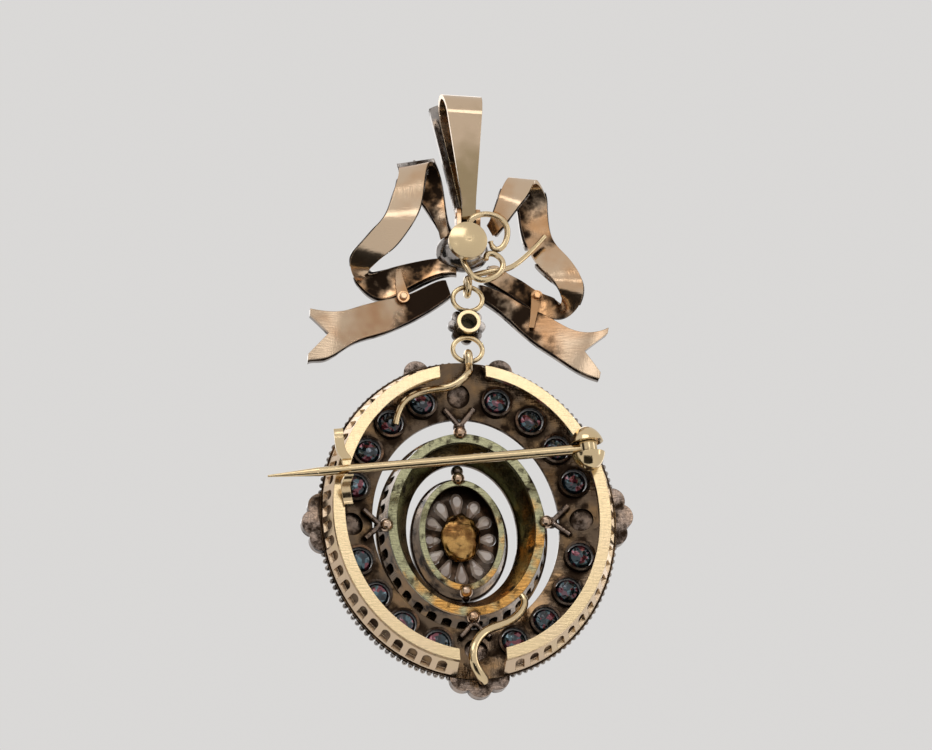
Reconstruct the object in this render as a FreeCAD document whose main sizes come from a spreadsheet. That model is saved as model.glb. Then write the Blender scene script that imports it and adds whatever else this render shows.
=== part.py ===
import FreeCAD, Part
import math
import os
import Sketcher
from FreeCAD import Placement, Rotation, Vector

# Bow pendant brooch in millimetres. +Z is up, the gold back faces -Y and the stone-set front faces +Y.
# The origin is the inside top of the bail, where it hangs. Five bodies hang in a chain:
# bail, bow, link, pendant, and the pin that is hinged to the pendant's back.

SIZES = {
    # bail: a folded strap with a wider plate on its front
    "bail_drop": 12.63,
    "bail_depth": 4.8,
    "bail_strap_thickness": 0.45,
    "bail_top_width": 4.4,
    "bail_foot_width": 1.4,
    "front_plate_top_width": 5.3,
    "front_plate_foot_width": 1.9,
    "front_plate_thickness": 0.5,
    "front_plate_rise": 1.3,
    "bail_lean": 0.9,
    "bail_stone_radius": 1.0,
    "eye_pin_radius": 0.32,
    "running_clearance": 0.06,
    "solder_gap": 0.03,
    # bow
    "hang_offset": 0.56,
    "bow_drop": 7.73,
    "ear_thickness": 0.45,
    "ear_radius": 0.75,
    "ear_height": 1.9,
    "knot_half_width": 2.7,
    "knot_half_height": 2.1,
    "knot_half_depth": 1.6,
    "cap_radius": 1.95,
    "cap_side_height": 0.7,
    "cap_dome_height": 0.5,
    "cap_post_radius": 0.6,
    "cap_stand_off": 3.2,
    "ribbon_thickness": 0.4,
    "facing_thickness": 0.45,
    "facing_overhang": 0.15,
    "tail_notch_depth": 2.0,
    "scroll_wire_radius": 0.3,
    "hook_wire_radius": 0.34,
    "hook_eye_bore": 0.55,
    "brace_thickness": 0.35,
    "brace_end_radius": 0.62,
    "bow_stone_radius": 0.72,
    "bow_stone_pitch": 1.75,
    "peg_radius": 0.38,
    "peg_height": 0.35,
    # link
    "link_drop": 8.04,
    "link_wire_radius": 0.25,
    "link_ring_half_width": 1.5,
    "link_ring_half_height": 1.3,
    "collet_radius": 1.2,
    "collet_bore_radius": 0.82,
    "collet_length": 1.9,
    "cluster_radius": 1.9,
    "cluster_thickness": 0.55,
    "link_stone_radius": 1.15,
    # pendant: ellipses given by their half width and half height at the back ring
    "pendant_drop": 16.74,
    "pendant_seat": 3.4,
    "pendant_turn": 4.0,
    "ring_half_width": 13.77,
    "ring_half_height": 15.32,
    "ring_band_width": 1.15,
    "ring_thickness": 0.6,
    "ring_gap_width": 4.6,
    "wall_depth": 2.0,
    "wall_flare": 0.85,
    "wall_thickness": 0.45,
    "window_count": 60,
    "window_width": 0.95,
    "window_height": 1.45,
    "window_sill": 0.25,
    "plate_thickness": 0.5,
    "plate_slope_depth": 1.6,
    "plate_band_width": 5.4,
    "plate_rim_overhang": 0.15,
    "stone_row_half_width": 11.5,
    "stone_row_half_height": 13.1,
    "setting_count": 20,
    "stone_radius": 1.2,
    "setting_clearance": 0.1,
    "ring_collet_wall": 0.26,
    "ring_collet_height": 0.55,
    "open_hole_radius": 1.15,
    "middle_half_width": 7.85,
    "middle_half_height": 9.42,
    "middle_rim_width": 0.9,
    "middle_rim_thickness": 0.4,
    "middle_depth": 4.0,
    "middle_drop": 0.1,
    "middle_wall_depth": 2.6,
    "middle_wall_flare": 0.65,
    "middle_window_count": 36,
    "funnel_narrowing": 1.35,
    "funnel_thickness": 0.35,
    "middle_plate_thickness": 0.45,
    "middle_stone_count": 22,
    "middle_stone_radius": 0.9,
    "joining_ball_radius": 0.6,
    "strut_radius": 0.28,
    "inner_half_width": 4.3,
    "inner_half_height": 5.75,
    "inner_rim_width": 0.6,
    "inner_rim_thickness": 0.35,
    "inner_sink": 0.13,
    "inner_drop": 0.3,
    "inner_wall_depth": 1.5,
    "inner_wall_flare": 0.5,
    "inner_wall_thickness": 0.4,
    "petal_count": 12,
    "petal_radius": 0.62,
    "centre_stone_half_width": 1.55,
    "centre_stone_half_height": 2.0,
    "centre_collet_thickness": 0.3,
    "fleurette_lobe_radius": 1.3,
    "fleurette_lobe_pitch": 1.65,
    "fleurette_top_pitch": 4.2,
    "fleurette_reach": 0.5,
    "fleurette_thickness": 0.7,
    "fleurette_hub_radius": 1.55,
    "fleurette_stone_radius": 0.85,
    "hanger_wire_radius": 0.4,
    "hanger_eye_bore": 0.5,
    # pin, hinge and catch
    "pin_length": 31.9,
    "pin_radius": 0.52,
    "pin_tip_radius": 0.1,
    "pin_point_length": 5.0,
    "pin_tilt": 8.1,
    "knuckle_radius": 0.95,
    "knuckle_height": 1.1,
    "hinge_across": 11.2,
    "hinge_up": 6.5,
    "hinge_stand_off": 1.5,
    "barrel_radius": 1.7,
    "barrel_half_height": 2.25,
    "rivet_radius": 0.3,
    "catch_across": 13.0,
    "catch_strip_width": 0.9,
    "catch_strip_thickness": 0.3,
    "catch_clearance": 0.12,
}

doc = FreeCAD.newDocument("bow_pendant_brooch")
sheet = doc.addObject("Spreadsheet::Sheet", "sizes")
for row, (name, value) in enumerate(SIZES.items(), start=1):
    sheet.set(f"A{row}", name)
    sheet.set(f"B{row}", str(value))
    sheet.setAlias(f"B{row}", name)
doc.recompute()

NODES = []
FRAMES = {
    "bail": ("0", "0", "0"),
    "bow": ("sizes.hang_offset", "0", "-sizes.bail_drop"),
    "link": ("sizes.hang_offset", "0", "-sizes.bail_drop - sizes.bow_drop"),
    "hanger": ("sizes.hang_offset", "0", "-sizes.bail_drop - sizes.bow_drop - sizes.link_drop"),
    "pendant": (
        "sizes.hang_offset",
        "-sizes.pendant_seat",
        "-sizes.bail_drop - sizes.bow_drop - sizes.link_drop - sizes.pendant_drop",
    ),
    "pin": (
        "sizes.hang_offset + sizes.hinge_across",
        "-sizes.pendant_seat - sizes.hinge_stand_off",
        "-sizes.bail_drop - sizes.bow_drop - sizes.link_drop - sizes.pendant_drop + sizes.hinge_up",
    ),
}


def size(name):
    """A driving dimension, as a plain number."""
    return float(sheet.get(name))


def bind(item, **expressions):
    """Tie properties of a document object to the sheet."""
    for prop, expression in expressions.items():
        item.setExpression(prop.replace("__", "."), expression)
    return item


def seat(item, frame, turn=0.0):
    """Put an object in its body's frame, turned about the depth axis."""
    item.Placement = Placement(Vector(), Rotation(Vector(0, 1, 0), turn))
    for axis, expression in zip("xyz", FRAMES[frame]):
        item.setExpression(f"Placement.Base.{axis}", expression)
    return item


def node(item, name):
    """Keep an object as one of the exported sub-parts."""
    item.Label = name
    NODES.append(item)
    return item


def formed(name, shape, frame, turn=0.0):
    """A sub-part whose shape is worked out here from the sheet."""
    item = doc.addObject("Part::Feature", name)
    item.Shape = Part.makeCompound([shape])
    seat(item, frame, turn)
    return node(item, name)


def primitive(kind, name, place=None, **expressions):
    """A Part primitive with its sizes tied to the sheet."""
    item = doc.addObject(f"Part::{kind}", name)
    if place is not None:
        item.Placement = place
    return bind(item, **expressions)


def joined(name, *items):
    """The union of document objects."""
    item = doc.addObject("Part::MultiFuse", name)
    item.Shapes = list(items)
    return item


def cut(name, base, tool):
    """One document object less another."""
    item = doc.addObject("Part::Cut", name)
    item.Base = base
    item.Tool = tool
    return item


ALONG_X = Rotation(Vector(0, 1, 0), 90)
ALONG_Y = Rotation(Vector(1, 0, 0), -90)
# an ellipse facing the front, with its long axis upright or level
UPRIGHT = Rotation(Vector(0, 0, 1), Vector(1, 0, 0), Vector(0, 1, 0), "ZXY")
LEVEL = Rotation(Vector(1, 0, 0), Vector(0, 0, -1), Vector(0, 1, 0), "ZXY")


# ---------------------------------------------------------------- shared shapes


def spline(points):
    """A curve through points, with evenly spaced parameters so that two edges keep step."""
    curve = Part.BSplineCurve()
    last = len(points) - 1
    curve.interpolate(Points=[Vector(*p) for p in points], Parameters=[i / last for i in range(last + 1)])
    return curve


def stations(rows, first, last, count):
    """Evenly spaced places on a strip: (left edge, right edge, outward direction), outward being frontward at first."""
    left = spline([row[0] for row in rows])
    right = spline([row[1] for row in rows])
    facing = None
    places = []
    for i in range(count):
        u = (first + (last - first) * i / (count - 1)) / (len(rows) - 1)
        a, b = left.value(u), right.value(u)
        along = (left.tangent(u)[0] + right.tangent(u)[0]).normalize()
        normal = along.cross(b - a).normalize()
        if facing is None:
            facing = 1 if normal.y > 0 else -1
        places.append((a, b, normal * facing))
    return places


def ribbon(rows, thickness, offset=0.0, overhang=0.0, first=0, last=None):
    """A strip through rows of (left point, right point), offset towards the front of the piece."""
    last = len(rows) - 1 if last is None else last
    sections = []
    for a, b, outer in stations(rows, first, last, 2 * (last - first) + 1):
        beyond = (b - a).normalize() * overhang
        a, b = a - beyond + outer * offset, b + beyond + outer * offset
        half = outer * (thickness / 2)
        sections.append(Part.makePolygon([a - half, b - half, b + half, a + half, a - half]))
    return Part.makeLoft(sections, True, False)


def stones_along(rows, first, last, radius, pitch, offset):
    """Rose-cut stones in a row down the middle of a strip, standing on its front."""
    line = [(a + b) * 0.5 for a, b, outer in stations(rows, first, last, 40)]
    run = sum((q - p).Length for p, q in zip(line, line[1:]))
    margin = 0.5 * pitch * (last - first) / run
    gems = []
    for a, b, outer in stations(rows, first + margin, last - margin, max(2, round(run / pitch))):
        gem = rose_cut(radius)
        gem.Placement = Placement((a + b) * 0.5 + outer * offset, Rotation(Vector(0, 1, 0), outer))
        gems.append(gem)
    return gems


def wire_along(points, start_radius, end_radius):
    """A round tapering wire through points."""
    curve = spline(points)
    steps = 3 * (len(points) - 1)
    side = curve.tangent(0)[0].cross(Vector(0, 1, 0.1)).normalize()
    sections = []
    for i in range(steps + 1):
        u = i / steps
        along = curve.tangent(u)[0]
        side = (side - along * side.dot(along)).normalize()
        radius = start_radius + (end_radius - start_radius) * u
        ring = Part.Wire(Part.Circle(Vector(), Vector(0, 0, 1), radius).toShape())
        ring.Placement = Placement(curve.value(u), Rotation(side, along.cross(side), along, "ZXY"))
        sections.append(ring)
    return Part.makeLoft(sections, True, False)


def cut_stone(levels, radius, sides, stretch=1.0):
    """A stone with flat facets between polygons: each level is (share of the radius, depth as a share)."""
    rings = []
    for share, depth in levels:
        angles = [2 * math.pi * (i + 0.5) / sides for i in range(sides)]
        rings.append(
            [Vector(share * math.cos(a), depth, share * stretch * math.sin(a)) * radius for a in angles]
        )
    outlines = [rings[0], rings[-1]]
    for low, high in zip(rings, rings[1:]):
        outlines += [[low[i - 1], low[i], high[i], high[i - 1]] for i in range(sides)]
    faces = [Part.Face(Part.makePolygon(corners + corners[:1])) for corners in outlines]
    stone = Part.Solid(Part.Shell(faces))
    return stone if stone.Volume > 0 else stone.reversed()


def brilliant(radius, sides=8, stretch=1.0):
    """A cut stone with its table to the front and its point to the back, girdle at depth 0."""
    return cut_stone([(0.12, -0.75), (1.0, -0.06), (1.0, 0.06), (0.58, 0.38)], radius, sides, stretch)


def round_ellipse(half_width, half_height, count, start=0.0):
    """Places spaced evenly along an ellipse: (point, outward direction)."""
    fine = 2000
    points = []
    for i in range(fine + 1):
        angle = 2 * math.pi * i / fine
        points.append(Vector(half_width * math.sin(angle), 0, half_height * math.cos(angle)))
    lengths = [0.0]
    for a, b in zip(points, points[1:]):
        lengths.append(lengths[-1] + (b - a).Length)
    places = []
    index = 0
    for k in range(count):
        wanted = lengths[-1] * ((k + start) / count)
        while lengths[index] < wanted:
            index += 1
        p = points[index]
        outward = Vector(p.x / half_width**2, 0, p.z / half_height**2).normalize()
        places.append((Vector(p), outward))
    return places


def elliptic(name, half_width, half_height, sections):
    """A solid through upright ellipses: each section grows the ellipse and sets its depth."""
    tall = size(half_height.removeprefix("sizes.")) >= size(half_width.removeprefix("sizes."))
    major, minor = (half_height, half_width) if tall else (half_width, half_height)
    ellipses = []
    for i, (grow, depth) in enumerate(sections):
        ellipse = primitive("Ellipse", f"{name}_section_{i}", Placement(Vector(), UPRIGHT if tall else LEVEL))
        bind(
            ellipse,
            MajorRadius=f"{major} + {grow}",
            MinorRadius=f"{minor} + {grow}",
            Placement__Base__y=depth,
        )
        ellipses.append(ellipse)
    loft = doc.addObject("Part::Loft", name)
    loft.Sections = ellipses
    loft.Solid = True
    loft.Ruled = True
    return loft


def front_ellipse(half_width, half_height, centre):
    """An ellipse curve facing the front, whichever way it is longer."""
    level, upright = Vector(half_width, 0, 0), Vector(0, 0, half_height)
    major, minor = (upright, level) if half_height >= half_width else (level, upright)
    return Part.Ellipse(centre + major, centre + minor, centre)


def elliptic_ring(name, outer, inner):
    """An elliptic ring: the outer solid less the inner one."""
    return cut(name, elliptic(f"{name}_outer", *outer), elliptic(f"{name}_bore", *inner))


def arch_window(width, height, sill, wall):
    """A cutter for an arched window: its round head points to the back, its foot stands on the sill."""
    half = width / 2
    foot, spring = -sill, -(sill + height - half)
    head = Part.Arc(Vector(-half, spring, 0), Vector(0, spring - half, 0), Vector(half, spring, 0)).toShape()
    sides = [
        Part.makeLine(Vector(half, spring, 0), Vector(half, foot, 0)),
        Part.makeLine(Vector(half, foot, 0), Vector(-half, foot, 0)),
        Part.makeLine(Vector(-half, foot, 0), Vector(-half, spring, 0)),
    ]
    face = Part.Face(Part.Wire([head] + sides))
    face.translate(Vector(0, 0, -wall))
    return face.extrude(Vector(0, 0, 2 * wall))


def windows(name, places, front_depth, width, height, sill):
    """Window cutters round a wall, as one object."""
    cutters = []
    for point, outward in places:
        window = arch_window(width, height, sill, 1.5)
        upright = Rotation(Vector(0, 1, 0).cross(outward), Vector(0, 1, 0), outward, "ZYX")
        window.Placement = Placement(point + Vector(0, front_depth, 0), upright)
        cutters.append(window)
    item = doc.addObject("Part::Feature", name)
    item.Shape = Part.makeCompound(cutters)
    return item


def sketch_on(body, name, role):
    """A sketch on one of its body's own origin planes."""
    sketch = body.newObject("Sketcher::SketchObject", name)
    sketch.AttachmentSupport = [(next(f for f in body.Origin.OriginFeatures if f.Role == role), "")]
    sketch.MapMode = "FlatFace"
    return sketch


def measured(sketch, kind, expression, *where):
    """A sketch dimension tied to the sheet."""
    index = sketch.addConstraint(Sketcher.Constraint(kind, *where, 1.0))
    sketch.setExpression(f"Constraints[{index}]", expression)


def outline(sketch, points):
    """A closed outline of straight lines with joined corners, and the index of its first line."""
    first = sketch.GeometryCount
    corners = [Vector(x, y, 0) for x, y in points]
    for a, b in zip(corners, corners[1:] + corners[:1]):
        sketch.addGeometry(Part.LineSegment(a, b), False)
    count = len(corners)
    for i in range(count):
        sketch.addConstraint(Sketcher.Constraint("Coincident", first + i, 2, first + (i + 1) % count, 1))
    return first


def compound(name, *items):
    """Document objects kept together as one sub-part, each still its own solid."""
    item = doc.addObject("Part::Compound", name)
    item.Links = list(items)
    return item


def rose_cut(radius, sides=8):
    """A flat-backed stone with a faceted dome to the front."""
    return cut_stone([(1.0, 0.0), (1.0, 0.12), (0.62, 0.4), (0.12, 0.52)], radius, sides)


# ---------------------------------------------------------------- bail


def teardrop(top_radius, top_z, foot_radius, foot_z, half_width):
    """Two circles in the side view with their common tangents, extruded across."""
    sink = (top_radius - foot_radius) / (top_z - foot_z)
    out = math.sqrt(1 - sink * sink)
    top = [Vector(0, side * top_radius * out, top_z - top_radius * sink) for side in (1, -1)]
    foot = [Vector(0, side * foot_radius * out, foot_z - foot_radius * sink) for side in (1, -1)]
    wire = Part.Wire(
        [
            Part.Arc(top[0], Vector(0, 0, top_z + top_radius), top[1]).toShape(),
            Part.makeLine(top[1], foot[1]),
            Part.Arc(foot[1], Vector(0, 0, foot_z - foot_radius), foot[0]).toShape(),
            Part.makeLine(foot[0], top[0]),
        ]
    )
    face = Part.Face(wire)
    face.translate(Vector(-half_width, 0, 0))
    return face.extrude(Vector(2 * half_width, 0, 0))


def bail_outline(top_half, foot_half):
    """The tapering front view of the bail, as a block through its whole depth."""
    foot_x = size("hang_offset")
    top_x = foot_x - size("bail_lean")
    top_z = size("bail_strap_thickness") + 1
    ears_z = -size("bail_drop") + size("ear_radius") + size("bail_strap_thickness")
    foot_z = -size("bail_drop") - 2
    corners = [
        Vector(top_x - top_half, -5, top_z),
        Vector(top_x + top_half, -5, top_z),
        Vector(foot_x + foot_half, -5, ears_z),
        Vector(foot_x + foot_half, -5, foot_z),
        Vector(foot_x - foot_half, -5, foot_z),
        Vector(foot_x - foot_half, -5, ears_z),
    ]
    return Part.Face(Part.makePolygon(corners + corners[:1])).extrude(Vector(0, 10, 0))


foot_bore = size("eye_pin_radius") + size("running_clearance")
strap = size("bail_strap_thickness")
bail_inside = size("bail_depth") / 2 - strap
strap_loop = teardrop(bail_inside + strap, -bail_inside, foot_bore + strap, -size("bail_drop"), 6).cut(
    teardrop(bail_inside, -bail_inside, foot_bore, -size("bail_drop"), 7)
)
formed(
    "bail_strap",
    strap_loop.common(bail_outline(size("bail_top_width") / 2, size("bail_foot_width") / 2)),
    "bail",
)

# the front plate lies along the strap's front leg, which leans out towards the top
leg_sink = (bail_inside - foot_bore) / (size("bail_drop") - bail_inside)
leg_lean = math.degrees(math.asin(leg_sink))
leg_side_lean = math.degrees(math.asin(size("bail_lean") / size("bail_drop")))
plate_foot = Vector(
    size("hang_offset"),
    (foot_bore + strap) * math.cos(math.radians(leg_lean)) + size("solder_gap"),
    -size("bail_drop"),
)
front_plate = doc.addObject("PartDesign::Body", "front_plate_body")
plate_sketch = sketch_on(front_plate, "front_plate_outline", "XZ_Plane")
half_foot, half_top = size("front_plate_foot_width") / 2, size("front_plate_top_width") / 2
plate_length = size("bail_drop") + 0.6
plate_sketch.addGeometry(Part.LineSegment(Vector(-half_foot, 0, 0), Vector(half_foot, 0, 0)), False)
plate_sketch.addGeometry(Part.LineSegment(Vector(half_foot, 0, 0), Vector(half_top, plate_length, 0)), False)
crown = Part.Arc(
    Vector(half_top, plate_length, 0),
    Vector(0, plate_length + 0.6, 0),
    Vector(-half_top, plate_length, 0),
)
plate_sketch.addGeometry(crown, False)
plate_sketch.addGeometry(Part.LineSegment(Vector(-half_top, plate_length, 0), Vector(-half_foot, 0, 0)), False)
plate_sketch.addConstraint(Sketcher.Constraint("Coincident", 0, 2, 1, 1))
plate_sketch.addConstraint(Sketcher.Constraint("Coincident", 3, 2, 0, 1))
plate_sketch.addConstraint(Sketcher.Constraint("Coincident", 1, 2, 2, 1))
plate_sketch.addConstraint(Sketcher.Constraint("Coincident", 2, 2, 3, 1))
plate_sketch.addConstraint(Sketcher.Constraint("Horizontal", 0))
plate_sketch.addConstraint(Sketcher.Constraint("Symmetric", 0, 1, 0, 2, -1, 1))
plate_sketch.addConstraint(Sketcher.Constraint("Symmetric", 1, 2, 3, 1, -2))
measured(plate_sketch, "DistanceX", "sizes.front_plate_foot_width", 0, 1, 0, 2)
measured(plate_sketch, "DistanceX", "sizes.front_plate_top_width", 3, 1, 1, 2)
measured(plate_sketch, "DistanceY", "sizes.bail_drop + sizes.front_plate_rise - 0.7", 0, 2, 1, 2)
measured(plate_sketch, "Radius", "sizes.front_plate_top_width", 2)
plate_pad = front_plate.newObject("PartDesign::Pad", "front_plate_pad")
plate_pad.Profile = plate_sketch
plate_pad.Reversed = True
bind(plate_pad, Length="sizes.front_plate_thickness")
front_plate.Placement = Placement(
    plate_foot,
    Rotation(Vector(0, 1, 0), -leg_side_lean).multiply(Rotation(Vector(1, 0, 0), -leg_lean)),
)
node(front_plate, "bail_front_plate")

bail_gems = []
gem_spots = [0.2, 0.36, 0.53, 0.71, 0.9]
for spot in gem_spots:
    gem = rose_cut(size("bail_stone_radius") * (0.5 + 0.5 * spot))
    gem.translate(Vector(0, size("front_plate_thickness") + size("solder_gap"), spot * size("bail_drop")))
    bail_gems.append(gem)
stones = doc.addObject("Part::Feature", "bail_stones")
stones.Shape = Part.makeCompound(bail_gems)
stones.Placement = front_plate.Placement
node(stones, "bail_stones")

# ---------------------------------------------------------------- bow

eye_pin = primitive(
    "Cylinder",
    "eye_pin_rod",
    Placement(Vector(), ALONG_X),
    Radius="sizes.eye_pin_radius",
    Height="sizes.bail_foot_width + 2 * sizes.ear_thickness + 4 * sizes.running_clearance",
    Placement__Base__x="-(sizes.bail_foot_width / 2 + sizes.ear_thickness + 2 * sizes.running_clearance)",
)
node(seat(compound("eye_pin", eye_pin), "bow"), "eye_pin")

# the knot is a domed boss; the ears that hold the eye pin rise from it
KNOT = Vector(-0.45, 0.6, -3.77)
CAP = Vector(-0.36, 0, -3.67)
knot = primitive(
    "Ellipsoid",
    "knot_dome",
    Placement(KNOT, Rotation()),
    Radius1="sizes.knot_half_height",
    Radius2="sizes.knot_half_width",
    Radius3="sizes.knot_half_depth",
)
knot.Angle1, knot.Angle2 = -90, 90
node(seat(compound("bow_knot", knot), "bow"), "bow_knot")

ear_span = "sizes.bail_foot_width + 2 * sizes.ear_thickness + 2 * sizes.running_clearance"
ear_round = primitive(
    "Cylinder",
    "ear_round",
    Placement(Vector(), ALONG_X),
    Radius="sizes.ear_radius",
    Height=ear_span,
    Placement__Base__x=f"-({ear_span}) / 2",
)
ear_block = primitive(
    "Box",
    "ear_block",
    Length=ear_span,
    Width="2 * sizes.ear_radius",
    Height="sizes.ear_height",
    Placement__Base__x=f"-({ear_span}) / 2",
    Placement__Base__y="-sizes.ear_radius",
    Placement__Base__z="-sizes.ear_height",
)
slot_half = "sizes.bail_foot_width / 2 + sizes.running_clearance"
foot_reach = (
    "sizes.eye_pin_radius + sizes.bail_strap_thickness + sizes.front_plate_thickness + 4 * sizes.running_clearance"
)
ear_slot = primitive(
    "Cylinder",
    "ear_slot",
    Placement(Vector(), ALONG_X),
    Radius=foot_reach,
    Height=f"2 * ({slot_half})",
    Placement__Base__x=f"-({slot_half})",
)
ear_bore = primitive(
    "Cylinder",
    "ear_bore",
    Placement(Vector(), ALONG_X),
    Radius="sizes.eye_pin_radius",
    Height=f"({ear_span}) + 2",
    Placement__Base__x=f"-({ear_span}) / 2 - 1",
)
ears = cut("ears_slotted", joined("ears_solid", ear_round, ear_block), joined("ear_cuts", ear_slot, ear_bore))
node(seat(cut("bow_eye", ears, knot), "bow"), "bow_eye")

cap = doc.addObject("PartDesign::Body", "back_cap_body")
cap_sketch = sketch_on(cap, "cap_profile", "XY_Plane")
radius, side, dome = size("cap_radius"), size("cap_side_height"), size("cap_dome_height")
dome_radius = (radius * radius + dome * dome) / (2 * dome)
cap_sketch.addGeometry(Part.LineSegment(Vector(0, 0, 0), Vector(radius, 0, 0)), False)
cap_sketch.addGeometry(Part.LineSegment(Vector(radius, 0, 0), Vector(radius, -side, 0)), False)
dome_middle = Vector(
    dome_radius * math.sin(0.5 * math.asin(radius / dome_radius)),
    -side - dome + dome_radius * (1 - math.cos(0.5 * math.asin(radius / dome_radius))),
    0,
)
dome_arc = Part.Arc(Vector(0, -side - dome, 0), dome_middle, Vector(radius, -side, 0))
cap_sketch.addGeometry(dome_arc, False)
cap_sketch.addGeometry(Part.LineSegment(Vector(0, -side - dome, 0), Vector(0, 0, 0)), False)
cap_sketch.addConstraint(Sketcher.Constraint("Coincident", 0, 1, -1, 1))
cap_sketch.addConstraint(Sketcher.Constraint("Coincident", 0, 2, 1, 1))
cap_sketch.addConstraint(Sketcher.Constraint("Coincident", 1, 2, 2, 2))
cap_sketch.addConstraint(Sketcher.Constraint("Coincident", 2, 1, 3, 1))
cap_sketch.addConstraint(Sketcher.Constraint("Coincident", 3, 2, -1, 1))
cap_sketch.addConstraint(Sketcher.Constraint("Horizontal", 0))
cap_sketch.addConstraint(Sketcher.Constraint("Vertical", 1))
cap_sketch.addConstraint(Sketcher.Constraint("PointOnObject", 2, 3, -2))
cap_sketch.addConstraint(Sketcher.Constraint("Vertical", 3))
measured(cap_sketch, "DistanceX", "sizes.cap_radius", 0, 1, 0, 2)
measured(cap_sketch, "DistanceY", "sizes.cap_side_height", 1, 2, 1, 1)
measured(cap_sketch, "DistanceY", "sizes.cap_side_height + sizes.cap_dome_height", 3, 1, 3, 2)
cap_turn = cap.newObject("PartDesign::Revolution", "cap_revolution")
cap_turn.Profile = cap_sketch
cap_turn.ReferenceAxis = (cap_sketch, ["V_Axis"])
cap_turn.Angle = 360
seat(cap, "bow")
cap_base = "(-sizes.cap_stand_off + sizes.cap_side_height + sizes.cap_dome_height)"
bind(
    cap,
    Placement__Base__x=f"sizes.hang_offset + {CAP.x}",
    Placement__Base__y=cap_base,
    Placement__Base__z=f"-sizes.bail_drop + {CAP.z}",
)
node(cap, "back_cap")

post = primitive(
    "Cylinder",
    "post_rod",
    Placement(CAP, ALONG_Y),
    Radius="sizes.cap_post_radius",
    Height="sizes.cap_stand_off",
    Placement__Base__y=f"{cap_base} + sizes.solder_gap",
)
node(seat(cut("cap_post", post, knot), "bow"), "cap_post")
doc.recompute()
knot_shape = knot.Shape

# ribbons: rows of (left edge, right edge), from the knot round the loop and back to the knot
LEFT_LOOP = [
    ((-2.1, 1.0, -2.9), (-1.8, 0.4, -1.8)),
    ((-3.3, 2.0, 0.4), (-2.0, 1.6, 0.5)),
    ((-4.6, 2.6, 2.7), (-2.2, 2.2, 3.1)),
    ((-6.2, 2.2, 4.3), (-2.6, 1.8, 4.8)),
    ((-6.9, 0.8, 5.0), (-3.4, 0.6, 5.7)),
    ((-7.2, -0.8, 3.6), (-4.3, -0.8, 4.7)),
    ((-7.8, -1.7, 1.4), (-4.8, -1.7, 2.0)),
    ((-8.6, -2.0, -1.1), (-5.3, -2.0, -0.5)),
    ((-9.7, -1.8, -2.6), (-6.3, -1.8, -2.5)),
    ((-10.9, -1.2, -4.0), (-7.6, -1.4, -4.3)),
    ((-11.8, -0.4, -5.1), (-8.8, -0.8, -5.3)),
    ((-11.8, 0.6, -6.1), (-9.9, 0.2, -6.2)),
    ((-11.1, 1.6, -7.1), (-9.8, 1.2, -6.4)),
    ((-9.9, 2.0, -8.2), (-8.2, 1.8, -5.7)),
    ((-8.2, 1.8, -8.8), (-6.4, 1.8, -5.1)),
    ((-5.9, 1.2, -7.8), (-4.4, 1.4, -4.7)),
    ((-3.5, 0.6, -6.6), (-2.9, 0.8, -4.6)),
    ((-1.1, 0.2, -6.2), (-1.4, 0.4, -4.8)),
]
RIGHT_LOOP = [
    ((2.1, 0.2, -0.8), (2.7, 0.2, -1.9)),
    ((2.5, -0.8, 0.1), (3.8, -0.8, -0.8)),
    ((2.9, -1.4, 1.4), (4.9, -1.4, 0.7)),
    ((3.4, -1.2, 2.9), (6.1, -1.2, 2.5)),
    ((4.3, -0.1, 4.3), (7.1, -0.1, 4.2)),
    ((5.0, 1.4, 3.6), (8.2, 1.2, 3.4)),
    ((5.6, 2.0, 1.9), (8.5, 1.8, 2.0)),
    ((5.9, 1.9, -0.3), (8.7, 1.7, -0.3)),
    ((6.3, 1.2, -2.4), (9.3, 1.0, -2.3)),
    ((7.1, 0.3, -4.5), (10.2, 0.1, -3.8)),
    ((8.1, -0.5, -6.0), (11.2, -0.7, -5.7)),
    ((9.1, -0.6, -7.3), (11.7, -0.8, -7.5)),
    ((9.7, 0.2, -8.3), (11.4, 0.2, -9.0)),
    ((9.7, 1.2, -8.5), (10.4, 1.2, -9.9)),
    ((9.2, 1.9, -7.7), (9.1, 1.9, -9.9)),
    ((7.6, 2.0, -7.1), (7.3, 2.0, -9.2)),
    ((5.5, 1.4, -6.1), (4.9, 1.4, -8.0)),
    ((2.3, 0.4, -5.2), (2.0, 0.4, -6.8)),
]
LEFT_TAIL = [
    ((-2.1, 0.75, -6.9), (-1.6, 0.75, -8.4)),
    ((-3.7, 0.9, -7.4), (-3.7, 0.9, -10.1)),
    ((-5.9, 0.9, -8.6), (-6.3, 0.7, -11.8)),
    ((-8.3, 0.4, -9.5), (-8.6, 0.2, -13.1)),
    ((-11.0, -0.2, -10.6), (-11.4, -0.4, -14.4)),
    ((-13.0, -0.6, -11.4), (-13.5, -0.8, -16.0)),
    ((-16.0, -0.6, -11.3), (-16.2, -1.0, -16.9)),
]
RIGHT_TAIL = [
    ((1.3, 0.75, -7.2), (1.6, 0.75, -8.7)),
    ((3.9, 0.9, -8.0), (3.9, 0.9, -10.2)),
    ((5.9, 0.9, -9.1), (5.4, 0.9, -11.6)),
    ((8.1, 0.5, -10.2), (7.1, 0.5, -13.2)),
    ((10.3, 0.0, -11.6), (9.1, 0.0, -14.7)),
    ((12.3, -0.4, -12.1), (11.0, -0.4, -16.1)),
    ((14.3, -0.5, -11.5), (13.3, -0.5, -17.0)),
]
gold, silver = size("ribbon_thickness"), size("facing_thickness")
to_facing = gold / 2 + size("solder_gap") + silver / 2
overhang = size("facing_overhang")


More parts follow.
